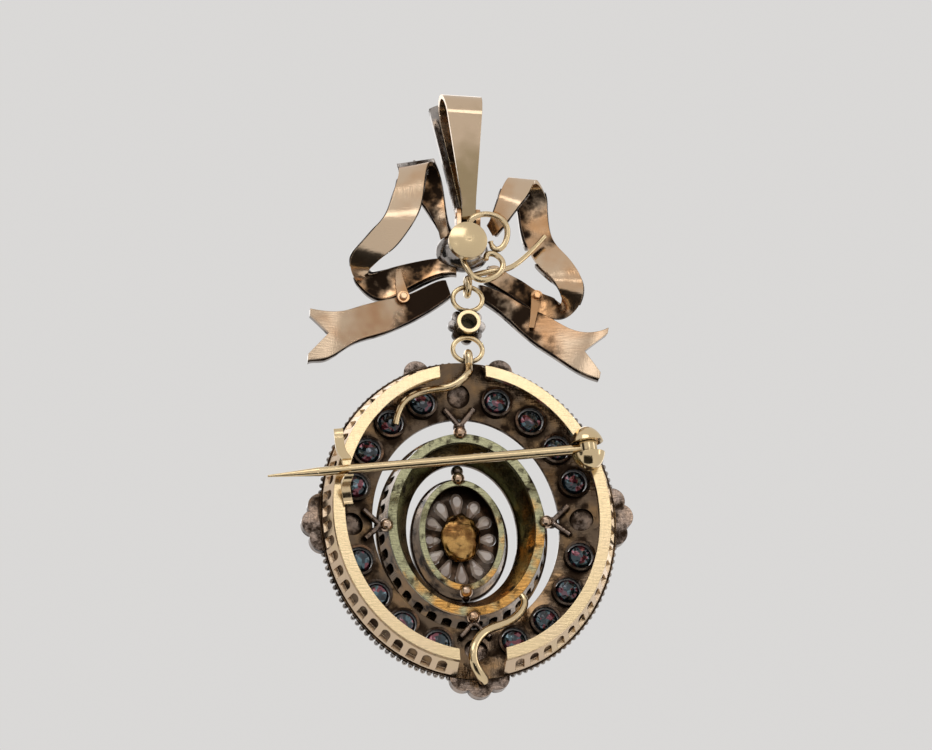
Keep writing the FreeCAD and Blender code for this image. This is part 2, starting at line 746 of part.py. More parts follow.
def swallow_notch(rows):
    """The wedge that forks a tail's end."""
    a, b = Vector(*rows[-1][0]), Vector(*rows[-1][1])
    c = (Vector(*rows[-2][0]) + Vector(*rows[-2][1])) * 0.5
    end = (a + b) * 0.5
    inward = (c - end).normalize()
    tip = end + inward * size("tail_notch_depth")
    corners = [tip, a - inward * 0.3 + (b - a) * 0.06, b - inward * 0.3 + (a - b) * 0.06]
    wedge = [Vector(p.x, -4, p.z) for p in corners]
    return Part.Face(Part.makePolygon(wedge + wedge[:1])).extrude(Vector(0, 8, 0))


# each strip of facing is (first row, last row), and its stones stop short of the knot and the forked ends
bow_gems = []
for name, rows, strips in [
    ("loop_left", LEFT_LOOP, [(0, 4), (5, 11), (12, 17)]),
    ("loop_right", RIGHT_LOOP, [(0, 3), (5, 8), (9, 12), (14, 17)]),
    ("tail_left", LEFT_TAIL, [(0, 6)]),
    ("tail_right", RIGHT_TAIL, [(0, 6)]),
]:
    away = swallow_notch(rows) if name.startswith("tail") else knot_shape
    formed(name, ribbon(rows, gold).cut(away), "bow")
    facings = [ribbon(rows, silver, to_facing, overhang, first, last).cut(away) for first, last in strips]
    formed(f"{name}_facing", Part.makeCompound(facings), "bow")
    for (first, last), facing in zip(strips, facings):
        start, stop = max(first, 1.4), min(last, len(rows) - 2.2)
        gems = stones_along(
            rows,
            start,
            stop,
            size("bow_stone_radius"),
            size("bow_stone_pitch"),
            to_facing + silver / 2 + size("solder_gap"),
        )
        bow_gems += [gem.cut(facing) for gem in gems]
formed("bow_stones", Part.makeCompound(bow_gems), "bow")

formed(
    "scroll_wire_upper",
    wire_along(
        [
            (-0.1, -1.1, -2.3),
            (0.1, -1.8, -1.1),
            (1.2, -1.9, -0.5),
            (2.6, -1.9, -0.6),
            (3.7, -1.8, -1.6),
            (3.6, -1.7, -3.3),
            (2.8, -1.6, -4.1),
            (2.1, -1.6, -3.3),
        ],
        size("scroll_wire_radius"),
        size("scroll_wire_radius"),
    ),
    "bow",
)
formed(
    "scroll_wire_lower",
    wire_along(
        [
            (-0.7, -1.35, -5.1),
            (-0.3, -1.8, -6.5),
            (0.9, -1.9, -7.6),
            (2.7, -1.8, -7.0),
            (3.3, -1.7, -5.5),
            (2.3, -1.6, -4.6),
            (1.6, -1.6, -5.3),
        ],
        size("scroll_wire_radius"),
        size("scroll_wire_radius"),
    ),
    "bow",
)


def wire_eye(bore, wire, centre):
    """A closed eye that stands fore and aft."""
    return Part.makeTorus(bore + wire, wire, centre, Vector(1, 0, 0))


hook_wire = size("hook_wire_radius")
hook_eye = wire_eye(size("hook_eye_bore"), hook_wire, Vector(0, 0, -size("bow_drop")))
hook_tail = wire_along(
    [
        (8.0, 0.2, -1.6),
        (6.4, -0.2, -3.6),
        (4.5, -0.8, -5.5),
        (2.9, -0.9, -6.1),
        (1.3, -0.6, -6.4),
        (0.0, 0.0, -size("bow_drop") + size("hook_eye_bore") + hook_wire),
    ],
    0.7 * hook_wire,
    hook_wire,
)
formed("bow_hook", hook_eye.fuse(hook_tail), "bow")

LEFT_BRACE = [(-6.9, 1.2, -5.8), (-6.8, 0.8, -7.3), (-6.5, 0.25, -9.1)]
RIGHT_BRACE = [(7.3, 1.3, -7.8), (7.0, 0.7, -9.2), (6.5, 0.0, -11.8)]
pegs = []
for name, route, tail, peg_at_end in [
    ("brace_left", LEFT_BRACE, LEFT_TAIL, True),
    ("brace_right", RIGHT_BRACE, RIGHT_TAIL, False),
]:
    wide, narrow = size("brace_end_radius"), 0.25
    widths = (narrow, 0.45, wide) if peg_at_end else (wide, 0.42, narrow)
    rows = [((x - w, y, z), (x + w, y, z)) for (x, y, z), w in zip(route, widths)]
    flat = size("brace_thickness")
    spot = Vector(*(route[-1] if peg_at_end else route[0]))
    disc = Part.makeCylinder(wide, flat, spot - Vector(0, flat / 2, 0), Vector(0, 1, 0))
    brace = ribbon(rows, flat).fuse(disc).cut(ribbon(tail, gold))
    formed(name, brace, "bow")
    peg_foot = spot - Vector(0, flat / 2 + size("solder_gap"), 0)
    peg = Part.makeCylinder(size("peg_radius"), size("peg_height"), peg_foot, Vector(0, -1, 0))
    pegs.append(peg.makeFillet(0.1, [peg.Edges[0]]).cut(brace))
formed("brace_pegs", Part.makeCompound(pegs), "bow")

# ---------------------------------------------------------------- link


def oval_wire(half_width, half_height, wire, centre_z):
    """A closed oval of round wire in the front plane: four quarter bends that run on smoothly."""
    diagonal = math.sqrt(2)
    side = (half_height - half_width * (diagonal - 1)) / (2 - diagonal)
    shift = half_width - side
    top = side + shift * diagonal
    bends = []
    for turn, bend, across, up in (
        (-45, side, shift, 0),
        (45, top, 0, -shift),
        (135, side, -shift, 0),
        (225, top, 0, shift),
    ):
        quarter = Part.makeTorus(bend, wire, Vector(), Vector(0, 0, 1), 0, 360, 90)
        quarter.rotate(Vector(), Vector(0, 0, 1), turn)
        quarter.rotate(Vector(), Vector(1, 0, 0), 90)
        bends.append(quarter.translated(Vector(across, 0, up + centre_z)))
    return bends[0].multiFuse(bends[1:]).Solids[0]


link_wire = size("link_wire_radius")
ring_w, ring_h = size("link_ring_half_width"), size("link_ring_half_height")
collet_z = -size("link_drop") / 2
collet_solid = Part.makeCylinder(size("collet_radius"), 4, Vector(0, -2, collet_z), Vector(0, 1, 0))
link_rings = [
    oval_wire(ring_w, ring_h, link_wire, centre).cut(collet_solid)
    for centre in (-ring_h, -size("link_drop") + ring_h)
]
formed("link_rings", Part.makeCompound(link_rings), "link")

collet = doc.addObject("PartDesign::Body", "link_collet_body")
collet_sketch = sketch_on(collet, "collet_section", "XY_Plane")
outline(collet_sketch, [(0.8, -0.9), (1.2, -0.9), (1.2, 0.9), (0.8, 0.9)])
for line in (0, 2):
    collet_sketch.addConstraint(Sketcher.Constraint("Horizontal", line))
for line in (1, 3):
    collet_sketch.addConstraint(Sketcher.Constraint("Vertical", line))
measured(collet_sketch, "DistanceY", "sizes.collet_length / 2", 0, 2, -1, 1)
measured(collet_sketch, "DistanceX", "sizes.collet_bore_radius", -1, 1, 0, 1)
measured(collet_sketch, "DistanceX", "sizes.collet_radius", -1, 1, 0, 2)
measured(collet_sketch, "DistanceY", "sizes.collet_length", 1, 1, 1, 2)
collet_turn = collet.newObject("PartDesign::Revolution", "collet_revolution")
collet_turn.Profile = collet_sketch
collet_turn.ReferenceAxis = (collet_sketch, ["V_Axis"])
collet_turn.Angle = 360
seat(collet, "link")
collet.setExpression("Placement.Base.z", "-sizes.bail_drop - sizes.bow_drop - sizes.link_drop / 2")
node(collet, "link_collet")

cluster_back = size("collet_length") / 2 - size("cluster_thickness")
lobes = [
    Part.makeCylinder(
        0.3 * size("cluster_radius"),
        size("cluster_thickness"),
        Vector(math.sin(k * math.pi / 4), 0, math.cos(k * math.pi / 4)) * (0.7 * size("cluster_radius"))
        + Vector(0, cluster_back, collet_z),
        Vector(0, 1, 0),
    )
    for k in range(8)
]
cluster_disc = Part.makeCylinder(
    0.75 * size("cluster_radius"), size("cluster_thickness"), Vector(0, cluster_back, collet_z), Vector(0, 1, 0)
)
cluster_bore = Part.makeCylinder(
    size("collet_radius") + size("solder_gap"), 4, Vector(0, -2, collet_z), Vector(0, 1, 0)
)
formed("link_cluster", cluster_disc.fuse(lobes).cut(cluster_bore), "link")
link_gem = rose_cut(size("link_stone_radius"))
link_gem.translate(Vector(0, size("collet_length") / 2 + size("solder_gap"), collet_z))
formed("link_stone", link_gem, "link")

# ---------------------------------------------------------------- pendant

# depths are measured forwards from the gold back ring's back face
HALF = ("sizes.ring_half_width", "sizes.ring_half_height")
WALL_START = "(sizes.ring_thickness + sizes.solder_gap)"
WALL_END = f"({WALL_START} + sizes.wall_depth)"
TURN = -size("pendant_turn")


def pendant_node(raw, name, drop=None):
    """Seat a finished pendant piece, turned with the whole pendant."""
    item = seat(compound(name, raw), "pendant", TURN)
    if drop:
        item.setExpression("Placement.Base.z", f"{FRAMES['pendant'][2]} - {drop}")
    return node(item, name)


def pendant_formed(name, shape, drop=None):
    """A pendant piece worked out here, turned with the whole pendant."""
    item = formed(name, shape, "pendant", TURN)
    if drop:
        item.setExpression("Placement.Base.z", f"{FRAMES['pendant'][2]} - {drop}")
    return item


def side_block(name, side):
    """A block that leaves one half of a ring: it covers the other half and the gap."""
    across = "-sizes.ring_gap_width / 2" if side == "left" else "-40 + sizes.ring_gap_width / 2"
    return primitive(
        "Box",
        name,
        Length="40",
        Width="40",
        Height="60",
        Placement__Base__x=across,
        Placement__Base__y="-20",
        Placement__Base__z="-30",
    )


back_ring = elliptic_ring(
    "back_ring",
    (*HALF, [("0", "0"), ("0", "sizes.ring_thickness")]),
    (*HALF, [("-sizes.ring_band_width", "-1"), ("-sizes.ring_band_width", "sizes.ring_thickness + 1")]),
)
wall = elliptic_ring(
    "gallery_wall",
    (*HALF, [("0", WALL_START), ("sizes.wall_flare", WALL_END)]),
    (
        *HALF,
        [
            ("-sizes.wall_thickness - 0.1 * sizes.wall_flare", f"{WALL_START} - 0.1 * sizes.wall_depth"),
            ("-sizes.wall_thickness + 1.1 * sizes.wall_flare", f"{WALL_END} + 0.1 * sizes.wall_depth"),
        ],
    ),
)
wall_end = size("ring_thickness") + size("solder_gap") + size("wall_depth")
wall_middle = (size("ring_half_width") + size("wall_flare") / 2, size("ring_half_height") + size("wall_flare") / 2)
gap_edge = size("ring_gap_width") / 2 + size("window_width")
window_places = [
    place
    for place in round_ellipse(*wall_middle, int(size("window_count")), start=0.5)
    if abs(place[0].x) > gap_edge
]
for side in ("left", "right"):
    wanted = [place for place in window_places if (place[0].x < 0) == (side == "left")]
    cutters = windows(
        f"gallery_windows_{side}",
        wanted,
        wall_end,
        size("window_width"),
        size("window_height"),
        size("window_sill"),
    )
    ring_half = cut(f"back_ring_half_{side}", back_ring, side_block(f"ring_block_{side}", side))
    pendant_node(ring_half, f"back_ring_{side}")
    wall_half = cut(f"gallery_half_{side}", wall, side_block(f"wall_block_{side}", side))
    pendant_node(cut(f"gallery_pierced_{side}", wall_half, cutters), f"gallery_{side}")

RIM_GROW = "(sizes.wall_flare + sizes.plate_rim_overhang)"
PLATE_BACK = f"({WALL_END} + sizes.solder_gap)"
INNER_GROW = f"({RIM_GROW} - sizes.plate_band_width)"
plate_ring = elliptic_ring(
    "settings_ring",
    (
        *HALF,
        [
            (RIM_GROW, PLATE_BACK),
            (RIM_GROW, f"{PLATE_BACK} + sizes.plate_thickness"),
            (INNER_GROW, f"{PLATE_BACK} + sizes.plate_thickness + sizes.plate_slope_depth"),
        ],
    ),
    (
        *HALF,
        [
            (f"{RIM_GROW} + 0.1 * sizes.plate_band_width", f"{PLATE_BACK} - 0.1 * sizes.plate_slope_depth"),
            (INNER_GROW, f"{PLATE_BACK} + sizes.plate_slope_depth"),
            (INNER_GROW, f"{PLATE_BACK} + sizes.plate_slope_depth + sizes.plate_thickness + 1"),
        ],
    ),
)
plate_back = wall_end + size("solder_gap")
plate_slope = size("plate_slope_depth") / size("plate_band_width")
rim_grow = size("wall_flare") + size("plate_rim_overhang")


def plate_depth(grow):
    """The depth of the plate's back face where the ellipse is grown by this much."""
    return plate_back + (rim_grow - grow) * plate_slope


row = (size("stone_row_half_width"), size("stone_row_half_height"))
settings = round_ellipse(*row, int(size("setting_count")))
quarter = int(size("setting_count")) // 4
stone_depth = plate_depth(row[0] - size("ring_half_width")) + size("plate_thickness") / 2
drills = []
ring_gems = []
tubes = []
collet_bore = size("stone_radius") + size("setting_clearance")
tube_back = plate_depth(row[0] - size("ring_half_width")) - size("ring_collet_height")
for k, (point, outward) in enumerate(settings):
    is_open = k % quarter == 0
    bore = size("open_hole_radius") if is_open else collet_bore
    drills.append(Part.makeCylinder(bore, 6, Vector(point.x, stone_depth - 3, point.z), Vector(0, 1, 0)))
    if not is_open:
        gem = brilliant(size("stone_radius"))
        gem.translate(Vector(point.x, stone_depth, point.z))
        ring_gems.append(gem)
        foot = Vector(point.x, tube_back, point.z)
        tube = Part.makeCylinder(collet_bore + size("ring_collet_wall"), 1.5, foot, Vector(0, 1, 0))
        tubes.append(tube.cut(Part.makeCylinder(collet_bore, 1.5, foot, Vector(0, 1, 0))))
plate_drills = doc.addObject("Part::Feature", "setting_drills")
plate_drills.Shape = Part.makeCompound(drills)

# the S-shaped wires that are soldered over the back, in the turned pendant's own frame


def turned(x, y, z):
    """A point given upright, in the pendant's own turned frame."""
    angle = math.radians(size("pendant_turn"))
    return (x * math.cos(angle) + z * math.sin(angle), y, -x * math.sin(angle) + z * math.cos(angle))


hanger = size("hanger_wire_radius")
eye_centre = Vector(*turned(0, size("pendant_seat"), size("pendant_drop")))
eye_radius = size("hanger_eye_bore") + hanger
eye_axis = Vector(*turned(1, 0, 0))
eye_ring = Part.makeTorus(eye_radius, hanger, eye_centre, eye_axis)
top_wire = wire_along(
    [
        turned(0.0, size("pendant_seat") - 0.8 * eye_radius, size("pendant_drop") - 0.6 * eye_radius),
        turned(-0.1, 1.8, 15.2),
        turned(-0.6, 1.2, 14.3),
        turned(-2.0, 1.4, 13.3),
        turned(-4.0, 1.9, 13.0),
        turned(-6.0, 2.1, 12.2),
        turned(-7.0, 2.2, 10.9),
        turned(-7.4, 2.3, 9.3),
    ],
    hanger,
    0.85 * hanger,
)
top_hook_shape = eye_ring.fuse(top_wire)
bottom_hook_shape = wire_along(
    [
        turned(5.3, 3.3, -7.4),
        turned(5.4, 2.7, -8.9),
        turned(3.8, 1.9, -10.6),
        turned(1.4, 1.2, -11.9),
        turned(0.1, 0.5, -14.1),
        turned(0.5, 0.9, -15.7),
        turned(1.4, 2.2, -16.5),
    ],
    0.85 * hanger,
    1.3 * hanger,
)
top_hook = pendant_formed("top_hook", top_hook_shape)
bottom_hook = pendant_formed("bottom_hook", bottom_hook_shape)
hook_cutters = doc.addObject("Part::Feature", "hook_seats")
hook_cutters.Shape = Part.makeCompound([eye_ring, bottom_hook_shape])
plate_drilled = cut("settings_drilled", plate_ring, plate_drills)
pendant_node(cut("settings_seated", plate_drilled, hook_cutters), "settings_plate")
pendant_formed("ring_stones", Part.makeCompound(ring_gems))
tube_blanks = doc.addObject("Part::Feature", "ring_collet_blanks")
tube_blanks.Shape = Part.makeCompound(tubes)
pendant_node(cut("ring_collets_seated", tube_blanks, plate_ring), "ring_collets")

# middle ring: a rim, a pierced wall outside it and a lining that narrows to the front
MIDDLE = ("sizes.middle_half_width", "sizes.middle_half_height")
MIDDLE_WALL = "(sizes.middle_depth + sizes.middle_rim_thickness + sizes.solder_gap)"
MIDDLE_FRONT = f"({MIDDLE_WALL} + sizes.middle_wall_depth)"
MIDDLE_DROP = "sizes.middle_drop"
middle_rim = elliptic_ring(
    "middle_rim_ring",
    (*MIDDLE, [("0", "sizes.middle_depth"), ("0", "sizes.middle_depth + sizes.middle_rim_thickness")]),
    (
        *MIDDLE,
        [
            ("-sizes.middle_rim_width", "sizes.middle_depth - 1"),
            ("-sizes.middle_rim_width", "sizes.middle_depth + sizes.middle_rim_thickness + 1"),
        ],
    ),
)
pendant_node(middle_rim, "middle_rim", MIDDLE_DROP)
middle_wall = elliptic_ring(
    "middle_wall",
    (*MIDDLE, [("0", MIDDLE_WALL), ("sizes.middle_wall_flare", MIDDLE_FRONT)]),
    (
        *MIDDLE,
        [
            ("-sizes.wall_thickness - 0.1 * sizes.middle_wall_flare", f"{MIDDLE_WALL} - 0.1 * sizes.middle_wall_depth"),
            ("-sizes.wall_thickness + 1.1 * sizes.middle_wall_flare", f"{MIDDLE_FRONT} + 0.1 * sizes.middle_wall_depth"),
        ],
    ),
)
middle_front = (
    size("middle_depth") + size("middle_rim_thickness") + size("solder_gap") + size("middle_wall_depth")
)
middle_places = round_ellipse(
    size("middle_half_width") + size("middle_wall_flare") / 2,
    size("middle_half_height") + size("middle_wall_flare") / 2,
    int(size("middle_window_count")),
    start=0.5,
)
middle_windows = windows(
    "middle_windows",
    middle_places,
    middle_front,
    size("window_width"),
    size("window_height"),
    size("window_sill"),
)
pendant_node(cut("middle_wall_pierced", middle_wall, middle_windows), "middle_gallery", MIDDLE_DROP)
FUNNEL_START = "(-sizes.middle_rim_width)"
FUNNEL_END = "(-sizes.middle_rim_width - sizes.funnel_narrowing)"
funnel = elliptic_ring(
    "middle_funnel_wall",
    (
        *MIDDLE,
        [
            (f"{FUNNEL_START} + sizes.funnel_thickness", MIDDLE_WALL),
            (f"{FUNNEL_END} + sizes.funnel_thickness", MIDDLE_FRONT),
        ],
    ),
    (
        *MIDDLE,
        [
            (f"{FUNNEL_START} + 0.1 * sizes.funnel_narrowing", f"{MIDDLE_WALL} - 0.1 * sizes.middle_wall_depth"),
            (f"{FUNNEL_END} - 0.1 * sizes.funnel_narrowing", f"{MIDDLE_FRONT} + 0.1 * sizes.middle_wall_depth"),
        ],
    ),
)
pendant_node(funnel, "middle_funnel", MIDDLE_DROP)
MIDDLE_PLATE = f"({MIDDLE_FRONT} + sizes.solder_gap)"
middle_plate = elliptic_ring(
    "middle_plate_ring",
    (
        *MIDDLE,
        [
            ("sizes.middle_wall_flare + sizes.plate_rim_overhang", MIDDLE_PLATE),
            ("sizes.middle_wall_flare + sizes.plate_rim_overhang", f"{MIDDLE_PLATE} + sizes.middle_plate_thickness"),
        ],
    ),
    (
        *MIDDLE,
        [
            (FUNNEL_END, f"{MIDDLE_PLATE} - 1"),
            (FUNNEL_END, f"{MIDDLE_PLATE} + sizes.middle_plate_thickness + 1"),
        ],
    ),
)
pendant_node(middle_plate, "middle_plate", MIDDLE_DROP)
middle_row = (size("middle_wall_flare") - size("middle_rim_width") - size("funnel_narrowing")) / 2
middle_gems = []
for point, outward in round_ellipse(
    size("middle_half_width") + middle_row, size("middle_half_height") + middle_row, int(size("middle_stone_count"))
):
    gem = rose_cut(size("middle_stone_radius"))
    front = middle_front + size("middle_plate_thickness") + 2 * size("solder_gap")
    gem.translate(Vector(point.x, front, point.z))
    middle_gems.append(gem)
pendant_formed("middle_stones", Part.makeCompound(middle_gems), MIDDLE_DROP)

# four balls with forked struts carry the middle ring in the plate's opening
ball = size("joining_ball_radius")
plate_grow = rim_grow - size("plate_band_width")
opening = (size("ring_half_width") + plate_grow, size("ring_half_height") + plate_grow)
strut = size("strut_radius")
joints = []
for k in range(4):
    out = Vector(math.sin(k * math.pi / 2), 0, math.cos(k * math.pi / 2))
    along = Vector(0, 1, 0).cross(out)
    edge = opening[0] if k % 2 else opening[1]
    centre = out * (edge - ball - 0.15) + Vector(0, size("middle_depth") + 0.45, 0)
    piece = Part.makeSphere(ball, centre)
    for way in (1, -1):
        foot = centre + out * 0.2 + along * (0.2 * way) - Vector(0, 0.3, 0)
        tip_depth = plate_depth(plate_grow + 0.9) - strut - size("solder_gap")
        tip = out * (edge + 0.9) + along * (1.5 * way) + Vector(0, tip_depth, 0)
        piece = piece.fuse(Part.makeCylinder(strut, (tip - foot).Length, foot, tip - foot))
    joints.append(piece)
pendant_formed("joining_balls", Part.makeCompound(joints))

# inner cluster: a rim, a short flaring wall, a plate of petal stones and the centre stone in its collet
INNER = ("sizes.inner_half_width", "sizes.inner_half_height")
INNER_DROP = "sizes.inner_drop"
INNER_DEPTH = f"({MIDDLE_FRONT} - sizes.inner_sink)"
INNER_WALL = f"({INNER_DEPTH} + sizes.inner_rim_thickness + sizes.solder_gap)"
INNER_FRONT = f"({INNER_WALL} + sizes.inner_wall_depth)"
inner_rim = elliptic_ring(
    "inner_rim_ring",
    (*INNER, [("0", INNER_DEPTH), ("0", f"{INNER_DEPTH} + sizes.inner_rim_thickness")]),
    (
        *INNER,
        [
            ("-sizes.inner_rim_width", f"{INNER_DEPTH} - 1"),
            ("-sizes.inner_rim_width", f"{INNER_DEPTH} + sizes.inner_rim_thickness + 1"),
        ],
    ),
)
pendant_node(inner_rim, "inner_rim", INNER_DROP)
inner_wall = elliptic_ring(
    "inner_wall_ring",
    (*INNER, [("0", INNER_WALL), ("sizes.inner_wall_flare", INNER_FRONT)]),
    (
        *INNER,
        [
            ("-sizes.inner_wall_thickness - 0.1 * sizes.inner_wall_flare", f"{INNER_WALL} - 0.1 * sizes.inner_wall_depth"),
            ("-sizes.inner_wall_thickness + 1.1 * sizes.inner_wall_flare", f"{INNER_FRONT} + 0.1 * sizes.inner_wall_depth"),
        ],
    ),
)
pendant_node(inner_wall, "inner_wall", INNER_DROP)

inner_depth = middle_front - size("inner_sink")
inner_front = inner_depth + size("inner_rim_thickness") + 2 * size("solder_gap") + size("inner_wall_depth")
plate_thick = size("plate_thickness")
centre_half = (size("centre_stone_half_width"), size("centre_stone_half_height"))
collet_wall = size("centre_collet_thickness")


def oval_block(half_width, half_height, back, front):
    """An upright oval block between two depths."""
    oval = front_ellipse(half_width, half_height, Vector(0, back, 0))
    return Part.Face(Part.Wire(oval.toShape())).extrude(Vector(0, front - back, 0))


petal_row = [
    (size("inner_half_width") + centre_half[0] + collet_wall) / 2,
    (size("inner_half_height") + centre_half[1] + collet_wall) / 2,
]
petals = []
petal_bores = []
petal = size("petal_radius")
for point, outward in round_ellipse(*petal_row, int(size("petal_count"))):
    bore_foot = Vector(point.x, inner_front - 1, point.z)
    petal_bores.append(Part.makeCylinder(petal + size("setting_clearance") / 2, 3, bore_foot, Vector(0, 1, 0)))
    gem = brilliant(petal)
    gem.translate(Vector(point.x, inner_front + plate_thick / 2, point.z))
    petals.append(gem)
flange = size("inner_wall_flare") + size("plate_rim_overhang")
petal_plate = oval_block(
    size("inner_half_width") + flange, size("inner_half_height") + flange, inner_front, inner_front + plate_thick
)
collet_outer = [half + size("solder_gap") + collet_wall for half in centre_half]
hole = oval_block(
    collet_outer[0] + size("solder_gap"), collet_outer[1] + size("solder_gap"), inner_front - 1, inner_front + 3
)
pendant_formed("petal_plate", petal_plate.cut([hole] + petal_bores), INNER_DROP)
pendant_formed("petal_stones", Part.makeCompound(petals), INNER_DROP)
collet_back, collet_front = inner_front - 0.9, inner_front + plate_thick + 0.5
centre_collet = oval_block(*collet_outer, collet_back, collet_front).cut(
    oval_block(
        centre_half[0] + size("solder_gap"),
        centre_half[1] + size("solder_gap"),
        collet_back - 1,
        collet_front + 1,
    )
)
pendant_formed("centre_collet", centre_collet, INNER_DROP)
centre_gem = brilliant(centre_half[0], 12, centre_half[1] / centre_half[0])
centre_gem.translate(Vector(0, collet_front - 0.15, 0))
pendant_formed("centre_stone", centre_gem, INNER_DROP)

# two balls, above and below, carry the inner cluster in the lining's front opening
lining_half = size("middle_half_height") - size("middle_rim_width") - size("funnel_narrowing")
cluster_half = size("inner_half_height") + size("inner_wall_flare") / 2
post_balls = []
for way in (1, -1):
    lining = way * lining_half - size("middle_drop") + size("inner_drop")
    cluster = way * cluster_half
    room = abs(lining - cluster) / 2
    middle = Vector(0, inner_depth + size("inner_rim_thickness"), (lining + cluster) / 2)
    post_balls.append(Part.makeSphere(room - 2 * size("solder_gap"), middle))
pendant_formed("inner_balls", Part.makeCompound(post_balls), INNER_DROP)

# fleurettes: three lobes on the front rim at both sides and the foot; at the top two lobes flank the hook
lobe = size("fleurette_lobe_radius")
thick = size("fleurette_thickness")
rim_front = plate_back + plate_thick
hub_back = plate_depth(row[0] - size("ring_half_width"))
fleurettes = []
fleurette_gems = []
for k in range(4):
    out = Vector(math.sin(k * math.pi / 2), 0, math.cos(k * math.pi / 2))
    along = Vector(0, 1, 0).cross(out)
    edge = (size("ring_half_width") if k % 2 else size("ring_half_height")) + rim_grow
    pitch = size("fleurette_lobe_pitch") if k else size("fleurette_top_pitch")
    drop = 0.2 if k else 1.0
    spots = [out * (edge - drop) + along * pitch, out * (edge - drop) - along * pitch]
    if k:
        spots.append(out * (edge + size("fleurette_reach")))
    lobes = [
        Part.makeCylinder(lobe, thick + 0.4, spot + Vector(0, rim_front - 0.4, 0), Vector(0, 1, 0)) for spot in spots
    ]
    hub = settings[k * quarter][0] + Vector(0, hub_back, 0)
    fleurettes += [
        lobes[0].fuse(lobes[1:]) if k else Part.makeCompound(lobes),
        Part.makeCylinder(size("fleurette_hub_radius"), thick + plate_thick, hub, Vector(0, 1, 0)),
    ]
    hub_gem = rose_cut(0.85 * size("fleurette_hub_radius"))
    hub_gem.translate(hub + Vector(0, thick + plate_thick + size("solder_gap"), 0))
    fleurette_gems.append(hub_gem)
    for spot in spots:
        gem = rose_cut(size("fleurette_stone_radius"))
        gem.translate(spot + Vector(0, rim_front + thick + size("solder_gap"), 0))
        fleurette_gems.append(gem)
fleurette_raw = doc.addObject("Part::Feature", "fleurette_lobes")
fleurette_raw.Shape = Part.makeCompound(fleurettes)
plate_solid = elliptic(
    "fleurette_seat",
    *HALF,
    [
        (RIM_GROW, PLATE_BACK + " - 1"),
        (RIM_GROW, f"{PLATE_BACK} + sizes.plate_thickness"),
        (INNER_GROW, f"{PLATE_BACK} + sizes.plate_thickness + sizes.plate_slope_depth"),
    ],
)
fleurette_cut = cut("fleurettes_seated", fleurette_raw, joined("fleurette_seats", plate_solid, hook_cutters))
pendant_node(fleurette_cut, "fleurettes")
pendant_formed("fleurette_stones", Part.makeCompound(fleurette_gems))

# ---------------------------------------------------------------- pin, hinge and catch

TILT = -size("pin_tilt")
slot = "(sizes.knuckle_height + 2 * sizes.running_clearance)"
barrel = primitive(
    "Ellipsoid",
    "hinge_barrel",
    Radius1="sizes.barrel_half_height",
    Radius2="sizes.barrel_radius",
    Radius3="sizes.barrel_radius",
)
barrel.Angle1, barrel.Angle2 = -90, 90
hinge_slot = primitive(
    "Box",
    "hinge_slot",
    Length="6",
    Width="6",
    Height=slot,
    Placement__Base__x="-3",
    Placement__Base__y="-3",
    Placement__Base__z=f"-{slot} / 2",
)
hinge_base = primitive(
    "Box",
    "hinge_base",
    Length="6",
    Width="6",
    Height="6",
    Placement__Base__x="-3",
    Placement__Base__y="sizes.hinge_stand_off - sizes.solder_gap",
    Placement__Base__z="-3",
)
rivet_bore = primitive(
    "Cylinder",
    "rivet_bore",
    Radius="sizes.rivet_radius",
    Height="2 * sizes.barrel_half_height + 2",
    Placement__Base__z="-sizes.barrel_half_height - 1",
)
hinge_cuts = joined("hinge_cuts", hinge_slot, hinge_base, rivet_bore)
node(seat(compound("hinge_ears", cut("ears_cut", barrel, hinge_cuts)), "pin", TILT), "hinge_ears")
rivet = primitive(
    "Cylinder",
    "rivet_rod",
    Radius="sizes.rivet_radius",
    Height="2 * sizes.barrel_half_height - 0.3",
    Placement__Base__z="-sizes.barrel_half_height + 0.15",
)
node(seat(compound("hinge_rivet", rivet), "pin", TILT), "hinge_rivet")

knuckle = primitive(
    "Cylinder",
    "knuckle_drum",
    Radius="sizes.knuckle_radius",
    Height="sizes.knuckle_height",
    Placement__Base__z="-sizes.knuckle_height / 2",
)
AWAY = Rotation(Vector(0, 1, 0), -90)
shank = primitive(
    "Cone",
    "pin_shank",
    Placement(Vector(), AWAY),
    Radius1="sizes.pin_radius",
    Radius2="0.85 * sizes.pin_radius",
    Height="sizes.pin_length - sizes.pin_point_length",
)
point = primitive(
    "Cone",
    "pin_point",
    Placement(Vector(), AWAY),
    Radius1="0.85 * sizes.pin_radius",
    Radius2="sizes.pin_tip_radius",
    Height="sizes.pin_point_length",
    Placement__Base__x="-(sizes.pin_length - sizes.pin_point_length)",
)
knuckle_bore = primitive(
    "Cylinder",
    "knuckle_bore",
    Radius="sizes.rivet_radius + sizes.running_clearance",
    Height="4",
    Placement__Base__z="-2",
)
pin_stem = cut("pin_bored", joined("pin_solid", knuckle, shank, point), knuckle_bore)
node(seat(compound("pin_stem", pin_stem), "pin", TILT), "pin_stem")

# the catch is a pair of curled strips on the ring, above and below the stem, in the pin's own frame
across = size("catch_across") + size("hinge_across")
strip_half = size("catch_strip_width") / 2
strip = size("catch_strip_thickness")
stand = size("hinge_stand_off")
clear = size("pin_radius") + size("catch_clearance")
ring_face = stand - strip / 2 - 3 * size("solder_gap")


def catch_strip(name, heights):
    """A strip that rises from the ring and curls over beside the stem."""
    rows = []
    for (rise, depth), shift in zip(heights, (0.0, -0.1, -0.2, -0.1, 0.1)):
        centre = -across + shift
        rows.append(((centre - strip_half, depth, rise), (centre + strip_half, depth, rise)))
    return formed(name, ribbon(rows, strip), "pin", TILT)


